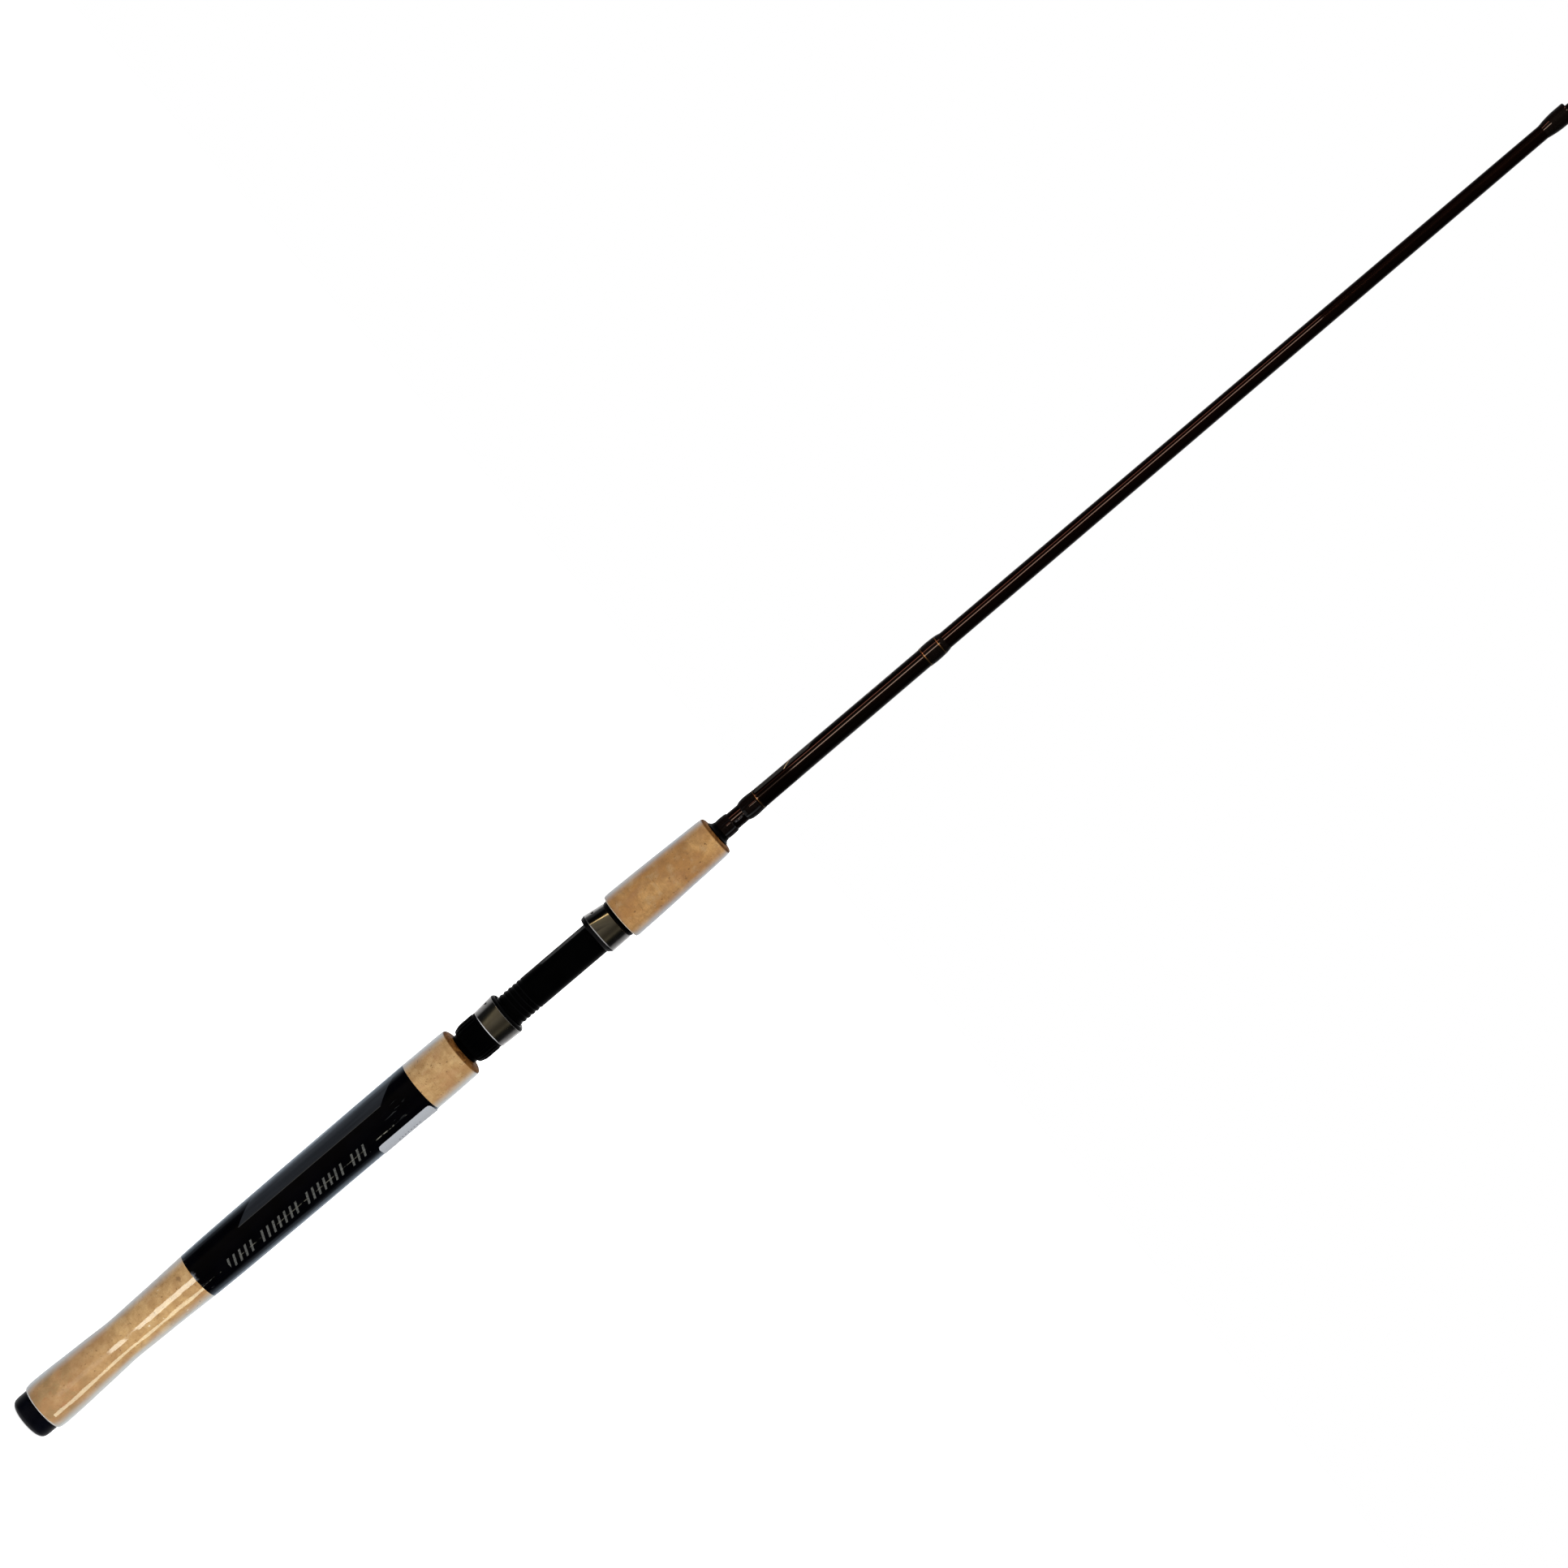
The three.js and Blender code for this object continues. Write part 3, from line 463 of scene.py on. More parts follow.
class Material(Graph):
    """A Principled material; paint() lays masked colours over .colour."""
    INPUTS = {
        "rough": "Roughness", "metal": "Metallic", "spec": "Specular IOR Level",
        "tint": "Specular Tint", "normal": "Normal", "coat": "Coat Weight",
        "coat_rough": "Coat Roughness", "coat_ior": "Coat IOR", "coat_tint": "Coat Tint",
        "coat_normal": "Coat Normal", "sheen": "Sheen Weight", "sheen_rough": "Sheen Roughness",
        "sheen_tint": "Sheen Tint", "glow": "Emission Color", "glow_strength": "Emission Strength"}

    def __init__(self, name):
        self.material = bpy.data.materials.new(name)
        self.material.use_nodes = True
        super().__init__(self.material.node_tree)
        self.shader = self.node("ShaderNodeBsdfPrincipled")
        self.node("ShaderNodeOutputMaterial", self.shader.outputs[0])

    @cached_property
    def position(self):
        """Object position in millimetres."""
        return self.scale(self.node("ShaderNodeTexCoord").outputs["Object"], 1000.0)

    @cached_property
    def axes(self):
        return self.node("ShaderNodeSeparateXYZ", self.position).outputs

    @property
    def z(self):
        return self.axes[2]

    @cached_property
    def angle(self):
        return self.calc("ARCTAN2", self.axes[1], self.axes[0])

    @cached_property
    def facing(self):
        """Degrees about the rod from the camera's side, positive towards +X, -180..180."""
        turn = self.sub(self.angle, math.radians(CAMERA_AZIMUTH - 90))
        return self.calc("DEGREES", self.calc("WRAP", turn, math.pi, -math.pi))

    def place(self, stretch):
        return self.vector("MULTIPLY", self.position, stretch)[0] if stretch else self.position

    def noise(self, scale=1.0, detail=3.0, rough=0.5, distortion=0.0, stretch=None, vector=None):
        node = self.node("ShaderNodeTexNoise", vector or self.place(stretch))
        node.inputs["Scale"].default_value = scale
        node.inputs["Detail"].default_value = detail
        node.inputs["Roughness"].default_value = rough
        node.inputs["Distortion"].default_value = distortion
        return node.outputs[0]

    def voronoi(self, scale, stretch):
        node = self.node("ShaderNodeTexVoronoi", self.place(stretch))
        node.inputs["Scale"].default_value = scale
        return node.outputs[0]

    def bump(self, height, strength, depth, under=None):
        """Normal from a height; depth in millimetres, under is a normal to build on."""
        node = self.node("ShaderNodeBump")
        self.put(node.inputs["Strength"], strength)
        self.put(node.inputs["Distance"], depth * MM)
        self.put(node.inputs["Height"], height)
        if under is not None:
            self.put(node.inputs["Normal"], under)
        return node.outputs[0]

    def outline(self, lo, hi):
        """0 where the surface faces the viewer, rising towards its outline."""
        weight = self.node("ShaderNodeLayerWeight", 0.5)
        return self.ramp(weight.outputs["Facing"], lo, hi)

    def tones(self, value, lo, hi, low, high):
        """Colour low where the value is under lo, high where it is over hi."""
        return self.mix(self.ramp(value, lo, hi), low, high)

    def paint(self, mask, colour):
        self.colour = self.mix(mask, self.colour, colour)

    def finish(self, **values):
        self.put(self.shader.inputs["Base Color"], self.colour)
        for key, value in values.items():
            self.put(self.shader.inputs[self.INPUTS[key]], value)
        return self.material


def shade(colour, factor):
    return tuple(channel * factor for channel in colour)


# ---- materials --------------------------------------------------------------------------------
CORK_RING = 12.7             # height of one stacked cork ring


def cork(name, foot, ends, low, high, butt=0.0, quiet=0.0):
    """Stacked cork rings under clear shrink film.

    foot: z of the lowest ring; ends: (z, reach) of darker bare ends, their dark partly painted
    shade; low, high: base tones;
    butt: mottling near the butt; quiet: how much the film dulls on the camera's side.
    """
    mat = Material(name)
    broad = mat.noise(scale=0.07, detail=4, rough=0.6)
    mid = mat.noise(scale=0.30, detail=5, rough=0.65, distortion=0.6, stretch=(1, 1, 0.8))
    fine = mat.noise(scale=2.1, detail=4, rough=0.7)
    turning = mat.noise(rough=0.6, stretch=(0.22, 0.22, 1.9))
    ring = mat.div(mat.sub(mat.z, foot), CORK_RING)
    cell = mat.calc("FLOOR", ring)
    ring_tone = mat.node("ShaderNodeTexWhiteNoise", None, cell,
                         noise_dimensions="1D").outputs["Value"]
    from_middle = mat.abs(mat.sub(mat.sub(ring, cell), 0.5))
    wander = mat.mul(mat.sub(mat.noise(scale=0.8, detail=2), 0.5), 0.02)
    seam_and_highlight = mat.ramp(mat.add(from_middle, wander), 0.485, 0.5)
    # base tones, pale and reddish patches, ring to ring changes, turning marks and grain
    mat.colour = mat.tones(broad, 0.36, 0.64, low, high)
    mat.paint(mat.ramp(mid, 0.3, 0.72, last=0.55), (0.31, 0.160, 0.06))
    pale = mat.ramp(mat.noise(scale=0.19), 0.52, 0.72)
    mat.paint(mat.mul(pale, 0.45), (0.60, 0.42, 0.22))
    reddish = mat.ramp(mat.noise(scale=0.2, rough=0.6, stretch=(0.6, 0.6, 0.35)), 0.5, 0.7)
    mat.paint(mat.mul(reddish, 0.4), (0.42, 0.205, 0.10))
    mat.paint(mat.mul(mat.sub(ring_tone, 0.2), 0.16), (0.38, 0.215, 0.10))
    mat.paint(mat.ramp(turning, 0.4, 0.75, last=0.22), (0.27, 0.14, 0.06))
    mat.paint(mat.ramp(fine, 0.35, 0.7, last=0.26), (0.26, 0.135, 0.06))
    # pits: short dark clefts, finer specks, and a few larger stained hollows
    cleft = mat.noise(detail=2.5, rough=0.55, distortion=1.4, stretch=(0.55, 0.55, 0.85))
    clefts = mat.ramp(cleft, 0.66, 0.72)
    speck = mat.ramp(mat.voronoi(scale=0.42, stretch=(1, 1, 0.6)), 0.2, 0.1)
    specks = mat.mul(speck, mat.ramp(mat.noise(scale=0.3, detail=1), 0.5, 0.62))
    stain = mat.noise(detail=4, rough=0.65, distortion=0.8, stretch=(0.3, 0.3, 0.42))
    stains = mat.mul(mat.ramp(stain, 0.63, 0.70),
                     mat.ramp(mat.noise(scale=0.06, detail=1), 0.5, 0.58))
    pits = mat.max(mat.max(clefts, mat.mul(specks, 0.75)), mat.mul(stains, 0.6))
    mat.paint(mat.mul(pits, 0.75), (0.085, 0.042, 0.018))
    mat.paint(mat.mul(seam_and_highlight, 0.14), (0.16, 0.08, 0.03))
    if butt:      # mottled and darker at the butt
        mat.paint(mat.ramp(mat.z, 85, 12, last=0.5), (0.31, 0.165, 0.082))
        mottle = mat.ramp(mat.noise(scale=0.16, detail=4, rough=0.6, stretch=(1, 1, 0.7)),
                          0.46, 0.62)
        mat.paint(mat.mul(mottle, mat.ramp(mat.z, 60, 20, last=butt)), (0.27, 0.175, 0.082))
        rust = mat.ramp(mat.noise(scale=0.21, rough=0.6, distortion=0.6, stretch=(1, 1, 0.6)),
                        0.54, 0.66)
        mat.paint(mat.mul(rust, mat.ramp(mat.z, 50, 16, last=butt * 0.7)), (0.34, 0.13, 0.055))
    height = mat.sub(mat.mul(fine, 0.25), mat.add(pits, mat.mul(seam_and_highlight, 0.3)))
    normal = mat.bump(height, strength=0.5, depth=0.16)
    # the film has long soft creases and a few small blisters, with painted glints on some
    crease = mat.noise(detail=2.5, distortion=0.3, stretch=(0.30, 0.30, 0.022))
    film = mat.bump(crease, strength=0.30, depth=0.5)
    blister_and_glint = mat.ramp(mat.voronoi(scale=0.16, stretch=(1, 1, 0.7)), 0.085, 0.03)
    film = mat.bump(blister_and_glint, strength=0.5, depth=0.25, under=film)
    # painted glints: pale specks painted on some of the blisters
    some = mat.ramp(mat.noise(scale=0.12, detail=1), 0.5, 0.6, last=0.55)
    mat.paint(mat.mul(blister_and_glint, some), (0.80, 0.74, 0.62))
    # painted sheen: pale blue-grey painted towards the outline; the film stops at the cut ends,
    # whose dark is partly painted shade
    outline_sheen = mat.ramp(mat.noise(stretch=(0.2, 0.2, 0.03)), 0.25, 0.7, first=0.66, last=0.95)
    mat.paint(mat.mul(mat.outline(0.24, 0.72), outline_sheen), (0.56, 0.595, 0.63))
    # upward faces painted dark amber: bare cork colour, partly painted shade
    surface = mat.node("ShaderNodeNewGeometry").outputs["Normal"]
    upward = mat.node("ShaderNodeSeparateXYZ", surface).outputs[2]
    bare_and_shaded = mat.mul(mat.ramp(upward, 0.16, 0.5), 0.96)
    mat.paint(bare_and_shaded, mat.tones(mid, 0.35, 0.65, (0.045, 0.015, 0.003), (0.13, 0.052, 0.011)))
    # dark amber at the ends: bare cork colour, partly painted shade beside the collars
    for end, reach in ends:
        away = mat.abs(mat.sub(mat.z, end))
        ragged = mat.add(away, mat.mul(mat.sub(mid, 0.5), 2.2))
        mask = mat.mul(mat.ramp(ragged, reach, reach * 0.3), 0.93)
        mat.paint(mask, mat.tones(mid, 0.35, 0.65, (0.060, 0.020, 0.004), (0.17, 0.070, 0.014)))
        bare_and_shaded = mat.max(bare_and_shaded, mask)
    gloss = mat.sub(1.0, mat.mul(bare_and_shaded, 0.93))
    if quiet:
        dull = mat.mul(mat.band(mat.facing, -17, 12, soft=3), mat.ramp(mat.z, 58.5, 55))
        gloss = mat.mul(gloss, mat.sub(1.0, mat.mul(dull, quiet)))
    return mat.finish(
        rough=mat.ramp(fine, 0.3, 0.7, first=0.55, last=0.75), normal=normal,
        coat=gloss, coat_rough=0.05, coat_normal=film, coat_ior=1.5,
        sheen=mat.mul(mat.sub(1.0, bare_and_shaded), 0.12), sheen_rough=0.3, sheen_tint=(0.90, 0.95, 1.0),
        spec=mat.mul(mat.sub(1.0, bare_and_shaded), 0.15))


def plain_dark(name, colour, rough, grain, strength, depth, spec):
    """Dark moulding; grain is the scale of its bump, strength and depth its relief."""
    mat = Material(name)
    fine = mat.noise(scale=grain, rough=0.6)
    blotch = mat.noise(scale=0.11, rough=0.6)
    mat.colour = mat.tones(blotch, 0.3, 0.7, colour, shade(colour, 1.7))
    return mat.finish(rough=mat.ramp(blotch, 0.3, 0.7, first=rough - 0.08, last=rough + 0.08),
                      normal=mat.bump(fine, strength, depth), spec=spec)


def thread_wrap(name, gold_bands=()):
    """Wound thread under clear epoxy, metallic between the z values of each gold band."""
    mat = Material(name)
    pitch = 0.19
    dark = (0.0016, 0.0012, 0.0011)
    lead = mat.div(mat.angle, TAU)
    saw = mat.fract(mat.add(mat.div(mat.z, pitch), lead))
    ridge = mat.calc("SINE", mat.mul(saw, math.pi))
    spread = mat.noise(detail=2, stretch=(0.8, 0.8, 1.6))
    mat.colour = mat.tones(spread, 0.3, 0.8, dark, shade(dark, 2.2))
    # painted shade: darker in the grooves between thread turns
    mat.paint(mat.mul(mat.ramp(ridge, 0.35, 0.05), 0.5), shade(dark, 0.4))
    metal = 0.0
    if gold_bands:
        gold = reduce(mat.max, [mat.band(mat.z, lo, hi, soft=0.03) for lo, hi in gold_bands])
        strand = mat.noise(detail=2, rough=0.6, stretch=(2.5, 2.5, 2))
        mat.paint(gold, mat.tones(strand, 0.35, 0.65, (0.10, 0.058, 0.020), (0.26, 0.175, 0.075)))
        metal = mat.mul(gold, 1.0)
    lump = mat.noise(detail=2, stretch=(0.22, 0.22, 0.3))
    return mat.finish(
        rough=0.42, metal=metal, normal=mat.bump(ridge, strength=0.2, depth=0.03), spec=0.012,
        coat=0.34, coat_rough=0.03, coat_ior=1.5,
        coat_normal=mat.bump(lump, strength=0.07, depth=0.35))


def blank_lacquer(name):
    """Graphite under tinted lacquer: a faint helical tape line and maroon depth."""
    mat = Material(name)
    tape_pitch = 3.4
    tape = mat.fract(mat.add(mat.div(mat.z, tape_pitch), mat.div(mat.angle, TAU)))
    line = mat.ramp(mat.abs(mat.sub(tape, 0.5)), 0.43, 0.5)
    cloud = mat.noise(rough=0.6, stretch=(0.4, 0.4, 0.05))
    mat.colour = mat.tones(cloud, 0.3, 0.75, (0.0005, 0.0002, 0.0002), (0.0016, 0.0004, 0.0003))
    mat.paint(mat.mul(line, 0.25), (0.0022, 0.0008, 0.0006))
    wave = mat.noise(detail=2, stretch=(0.12, 0.12, 0.016))
    return mat.finish(
        rough=0.22, tint=(1.0, 0.45, 0.32), spec=0.03,
        normal=mat.bump(line, strength=0.08, depth=0.015),
        coat=0.27, coat_rough=0.025, coat_ior=1.5, coat_tint=(1.0, 0.93, 0.9),
        coat_normal=mat.bump(wave, strength=0.05, depth=0.3))


def hood_metal(name):
    """Polished steel, with painted shade in the dimple on each hood and painted reflections on the
    covers.
    """
    mat = Material(name)
    around = mat.node("ShaderNodeCombineXYZ", mat.mul(mat.angle, 1.2), 0.0, mat.mul(mat.z, 26))
    brush = mat.noise(detail=2, rough=0.6, vector=around.outputs[0])
    smudge = mat.noise(scale=0.16, detail=4, rough=0.6)
    mat.colour = mat.tones(smudge, 0.3, 0.7, (0.63, 0.615, 0.59), (0.54, 0.52, 0.49))

    def dimple_mask(z):
        cover_radius = 11.7
        turn = mat.add(mat.angle, math.radians(360 - DIMPLE_ANGLE))
        across = mat.calc("POWER", mat.abs(mat.mul(turn, cover_radius)), 2.0)
        along = mat.calc("POWER", mat.abs(mat.sub(mat.z, z)), 2.0)
        return mat.ramp(mat.calc("SQRT", mat.add(across, along)), 1.0, 0.78)

    # painted shade: the dimples are painted near black
    dimple_shade = mat.max(dimple_mask(REAR_DIMPLE_Z), dimple_mask(FRONT_DIMPLE_Z))
    mat.paint(dimple_shade, (0.004, 0.004, 0.005))
    # painted dark reflection: a dark band along the front hood's camera-left side
    dark_reflection = mat.mul(mat.ramp(mat.z, 365.0, 370.0), mat.band(mat.facing, -62, -33, soft=5))
    mat.paint(mat.mul(dark_reflection, 0.85), (0.03, 0.03, 0.032))
    # painted reflection: a bright line near each cover's lower edge, where the rounded rim mirrors
    # the pale table
    rear_rim_reflection = mat.ramp(mat.abs(mat.sub(mat.z, 305.75)), 0.5, 0.25)
    front_rim_reflection = mat.mul(mat.ramp(mat.abs(mat.sub(mat.z, 379.6)), 0.5, 0.3), 0.45)
    rim = mat.mul(mat.max(rear_rim_reflection, front_rim_reflection), mat.band(mat.facing, -40, 44, soft=22))
    mat.paint(rim, (0.85, 0.86, 0.90))
    dull = mat.max(dimple_shade, mat.mul(rim, 0.8))
    scuff = mat.ramp(mat.noise(detail=4, rough=0.7, stretch=(0.5, 0.5, 2.6)), 0.64, 0.74)
    rough = mat.add(mat.ramp(smudge, 0.3, 0.75, first=0.09, last=0.2),
                    mat.add(mat.mul(scuff, 0.12), mat.mul(dimple_shade, 0.5)))
    return mat.finish(metal=mat.sub(1.0, dull), spec=0.05, rough=rough,
                      normal=mat.bump(brush, strength=0.06, depth=0.02))


def wire_coat(name):
    mat = Material(name)
    cloud = mat.noise(scale=0.5)
    fine = mat.noise(scale=4.0, detail=2)
    mat.colour = mat.tones(cloud, 0.3, 0.7, (0.018, 0.018, 0.02), (0.034, 0.033, 0.034))
    return mat.finish(metal=0.75, rough=mat.ramp(cloud, 0.3, 0.7, first=0.16, last=0.28),
                      normal=mat.bump(fine, strength=0.1, depth=0.03), coat=0.9, coat_rough=0.04)


def ceramic(name):
    mat = Material(name)
    cloud = mat.noise(scale=0.8)
    fine = mat.noise(scale=9.0, detail=2)
    mat.colour = mat.tones(cloud, 0.3, 0.7, (0.022, 0.024, 0.03), (0.045, 0.047, 0.055))
    mat.paint(mat.ramp(fine, 0.55, 0.75, last=0.4), (0.09, 0.092, 0.1))
    return mat.finish(rough=0.12, spec=0.7, coat=0.6, coat_rough=0.03,
                      normal=mat.bump(fine, strength=0.05, depth=0.01))


def printed_film(name):
    """Near-black printed sleeve with a grey band, a keyline and a row of slanted bars."""
    mat = Material(name)
    around = mat.facing
    mat.colour = mat.tones(mat.noise(scale=0.1), 0.3, 0.7,
                           (0.0002, 0.0002, 0.0008), (0.0007, 0.0007, 0.0018))
    # long band with slanted ends, fainter towards the camera's side
    skew = mat.add(mat.z, mat.mul(around, 0.34))
    long_band = mat.mul(mat.band(skew, 139.0, 233.0, soft=0.25),
                        mat.band(around, -118, -23, soft=0.7))
    fade = mat.ramp(around, -75, -20, first=0.75, last=0.35)
    grey = mat.tones(mat.noise(detail=2, stretch=(0.3, 0.3, 0.02)), 0.3, 0.7,
                     (0.042, 0.048, 0.058), (0.064, 0.072, 0.086))
    mat.paint(mat.mul(long_band, fade), grey)
    # thin keyline beside the band
    key = mat.mul(mat.band(skew, 139.0, 233.0, soft=0.2),
                  mat.band(around, -23.6, -22.6, soft=0.25))
    mat.paint(mat.mul(key, 0.6), (0.085, 0.085, 0.08))
    # slanted bars, a narrow gap once in eight
    bar_pitch = 3.7
    slant = mat.add(mat.z, mat.mul(mat.sub(around, 27.0), 0.11))
    cell = mat.fract(mat.div(slant, bar_pitch))
    bars = mat.mul(mat.band(cell, 0.28, 0.62, soft=0.035),
                   mat.band(around, 13.0, 38.0, soft=0.6))
    bars = mat.mul(bars, mat.band(mat.z, 131.0, 222.0, soft=0.1))
    gap = mat.fract(mat.div(slant, 8 * bar_pitch))
    bars = mat.mul(bars, mat.ramp(gap, 0.118, 0.122))
    worn = mat.ramp(mat.noise(scale=1.6, rough=0.6), 0.3, 0.62, first=0.35, last=1.0)
    mat.paint(mat.mul(bars, worn), (0.135, 0.138, 0.130))
    # creases, small tucks at the two ends, a painted highlight line along the sleeve, and a ruck at
    # the lower end with a painted highlight
    crease = mat.noise(detail=2.5, distortion=0.3, stretch=(0.24, 0.24, 0.02))
    tuck = mat.ramp(mat.noise(detail=2, distortion=0.8, stretch=(0.7, 0.7, 0.10)), 0.60, 0.66)
    tuck_front = mat.mul(mat.band(mat.z, 240, 251, soft=3), mat.band(around, -14, 24, soft=4))
    tuck = mat.mul(tuck, mat.max(mat.ramp(mat.z, 119, 113.4), tuck_front))
    broken = mat.ramp(mat.noise(detail=2, rough=0.7, stretch=(0.3, 0.3, 0.16)), 0.46, 0.6)
    # painted highlight: a pale broken line along the sleeve, dimmer over the bars
    seam_and_highlight = mat.mul(mat.band(around, 24.6, 26.4, soft=0.5),
                   mat.mul(mat.band(mat.z, 113.4, 250.0, soft=0.5), broken))
    by_bars = mat.mul(mat.band(mat.z, 129.0, 224.0, soft=1.0), 0.6)
    mat.paint(mat.mul(seam_and_highlight, mat.sub(1.0, by_bars)), (0.25, 0.245, 0.20))
    uneven = mat.mul(mat.noise(detail=2, rough=0.6, stretch=(0.9, 0.9, 0.4)), 3.0)
    # painted highlight: a pale patch over the ruck at the lower end, facing the camera
    ruck_highlight = mat.mul(mat.band(around, -13, 5, soft=5),
                   mat.ramp(mat.add(mat.z, uneven), 117.2, 114.6))
    mat.paint(mat.mul(ruck_highlight, 0.55), (0.55, 0.57, 0.62))
    creased = mat.bump(crease, strength=0.32, depth=0.5)
    normal = mat.bump(tuck, strength=0.5, depth=0.25, under=creased)
    mat.paint(mat.mul(tuck, 0.25), (0.12, 0.125, 0.13))
    # painted sheen: blue-grey painted towards the outline
    edge_sheen = mat.calc("POWER", mat.outline(0.28, 1.0), 1.5)
    mat.paint(mat.mul(edge_sheen, 0.95), (0.34, 0.435, 0.54))
    return mat.finish(rough=0.2, normal=normal, spec=0.10, sheen=0.04, sheen_rough=0.28,
                      sheen_tint=(0.62, 0.78, 1.0), coat=0.12, coat_rough=0.06,
                      coat_normal=normal)


def label_paper(name):
    """Pale paper with a column of plain dashes."""
    mat = Material(name)
    fibre = mat.noise(scale=2.6, detail=4, rough=0.7)
    mat.colour = mat.tones(fibre, 0.3, 0.7, (0.50, 0.53, 0.58), (0.60, 0.62, 0.66))
    dash_pitch = 1.9
    cell = mat.fract(mat.div(mat.z, dash_pitch))
    column = mat.mul(mat.band(mat.z, 235.0, 250.0, soft=0.2),
                     mat.band(mat.facing, 66, 71, soft=0.6))
    dash = mat.mul(mat.band(cell, 0.22, 0.62, soft=0.05), column)
    mat.paint(mat.mul(dash, 0.75), (0.10, 0.11, 0.14))
    return mat.finish(rough=0.55, normal=mat.bump(fibre, strength=0.2, depth=0.05),
                      coat=0.25, coat_rough=0.25)


def label_gloss(name):
    """Dark coated section with a grey band, a pale stripe across it and a row of dashes."""
    mat = Material(name)
    around = mat.facing
    mat.colour = mat.tones(mat.noise(stretch=(0.5, 0.5, 0.08)), 0.3, 0.7,
                           (0.0004, 0.0002, 0.0002), (0.0011, 0.0004, 0.0003))
    skew = mat.add(mat.z, mat.mul(mat.add(around, 80.0), 0.16))
    grey = mat.mul(mat.band(skew, 489.5, 527.0, soft=0.12),
                   mat.band(around, -122, -42, soft=1.0))
    mat.paint(mat.mul(grey, mat.ramp(around, -120, -64, first=1.0, last=0.5)),
              (0.036, 0.043, 0.043))
    stripe = mat.mul(mat.band(skew, 510.6, 511.5, soft=0.1),
                     mat.band(around, -118, -40, soft=1.0))
    mat.paint(stripe, (0.32, 0.27, 0.17))
    dash_pitch = 4.6
    cell = mat.fract(mat.div(skew, dash_pitch))
    row = mat.mul(mat.band(skew, 556.0, 579.0, soft=0.1), mat.band(around, -104, -66, soft=1.0))
    mat.paint(mat.mul(mat.band(cell, 0.2, 0.7, soft=0.04), row), (0.11, 0.12, 0.125))
    lump = mat.noise(detail=2, stretch=(0.2, 0.2, 0.06))
    return mat.finish(
        rough=0.3, tint=(1.0, 0.75, 0.62), spec=0.015,
        coat=mat.ramp(mat.z, 505.0, 511.0, first=0.03, last=0.34), coat_rough=0.03,
        coat_ior=1.5, coat_tint=(1.0, 0.94, 0.9),
        coat_normal=mat.bump(lump, strength=0.05, depth=0.3))


def film_edge(name, low, high):
    mat = Material(name)
    mat.colour = mat.tones(mat.noise(scale=0.9), 0.3, 0.7, low, high)
    return mat.finish(rough=0.2, coat=1.0, coat_rough=0.06, spec=0.6)


# looks: (material, slot name)
CORK = (cork("cork_under_film", GRIP[0][0], ends=((290.2, 3.8),), low=(0.41, 0.245, 0.108),
             high=(0.61, 0.395, 0.185), butt=0.6, quiet=0.9), "cork")
CORK_FRONT = (cork("cork_foregrip", FOREGRIP[0][0], ends=((458.4, 3.4), (392.6, 1.1)),
                   low=(0.53, 0.262, 0.084), high=(0.73, 0.42, 0.158)), "cork")
CAP = (plain_dark("rubber_cap", colour=(0.0008, 0.0010, 0.0032), rough=0.36, grain=1.3,
                  strength=0.10, depth=0.05, spec=0.2), "rubber")
SEAT = (plain_dark("seat_black", colour=(0.0004, 0.0004, 0.0005), rough=0.32, grain=0.9,
                   strength=0.06, depth=0.04, spec=0.03), "seat_plastic")
NUT_LOOK = (plain_dark("nut_black", colour=(0.0003, 0.0003, 0.0004), rough=0.40, grain=1.6,
                       strength=0.08, depth=0.05, spec=0.02), "nut_plastic")
LINER = (plain_dark("hood_liner_black", colour=(0.0004, 0.0004, 0.0005), rough=0.30, grain=1.2,
                    strength=0.05, depth=0.04, spec=0.06), "seat_plastic")
FILM = (printed_film("printed_sleeve"), "printed_film")
PAPER = (label_paper("stock_label"), "label_paper")
STEEL = (hood_metal("hood_polished_steel"), "hood_steel")
BLANK = (blank_lacquer("blank_lacquer"), "graphite")
LABEL = (label_gloss("coated_label_section"), "label_gloss")
WRAP = (thread_wrap("thread_under_epoxy"), "epoxy_wrap")
TRIM = (thread_wrap("metallic_trim_thread",
                    gold_bands=((484.4, 484.75), (595.25, 595.75), (604.65, 605.1))),
        "metallic_trim")
WIRE = (wire_coat("black_coated_wire"), "guide_steel")
CERAMIC = (ceramic("polished_ceramic"), "guide_ceramic")
TAPE = plain_dark("packing_tape", colour=(0.05, 0.05, 0.052), rough=0.85, grain=3.0,
                  strength=0.5, depth=0.2, spec=0.2)
EDGE = (film_edge("film_rolled_edge", (0.60, 0.575, 0.54), (0.80, 0.785, 0.76)), "printed_film")
EDGE_WARM = (film_edge("film_rolled_edge_warm", (0.66, 0.52, 0.36), (0.86, 0.74, 0.56)),
             "printed_film")


# ---- butt cap and grips -----------------------------------------------------------------------
def butt_cap():
    profile = [
        (0, 0.0), (8.6, 0.0, 1.2), (10.1, 0.4, 1.2), (11.2, 1.2, 1.2), (11.8, 2.3, 1.2),
        (12.1, 4.2, 1.2), (12.1, 10.05, 0.3), (11.8, 10.4), (5.65, 10.4), (5.65, 3.5), (0, 3.5)]
    turned("butt_cap_moulding", rounded(profile, radius=0.2, steps=5), CAP, "butt_cap",
           segments=128)


def cork_profile(stations, step):
    """(radius, z) points at the stations and about every step between them."""
    foot, top = stations[0][0], stations[-1][0]
    count = int((top - foot) / step)
    levels = {z for z, _ in stations} | {foot + (top - foot) * i / count
                                         for i in range(count + 1)}
    return [(spline(stations, z), z) for z in sorted(levels)]


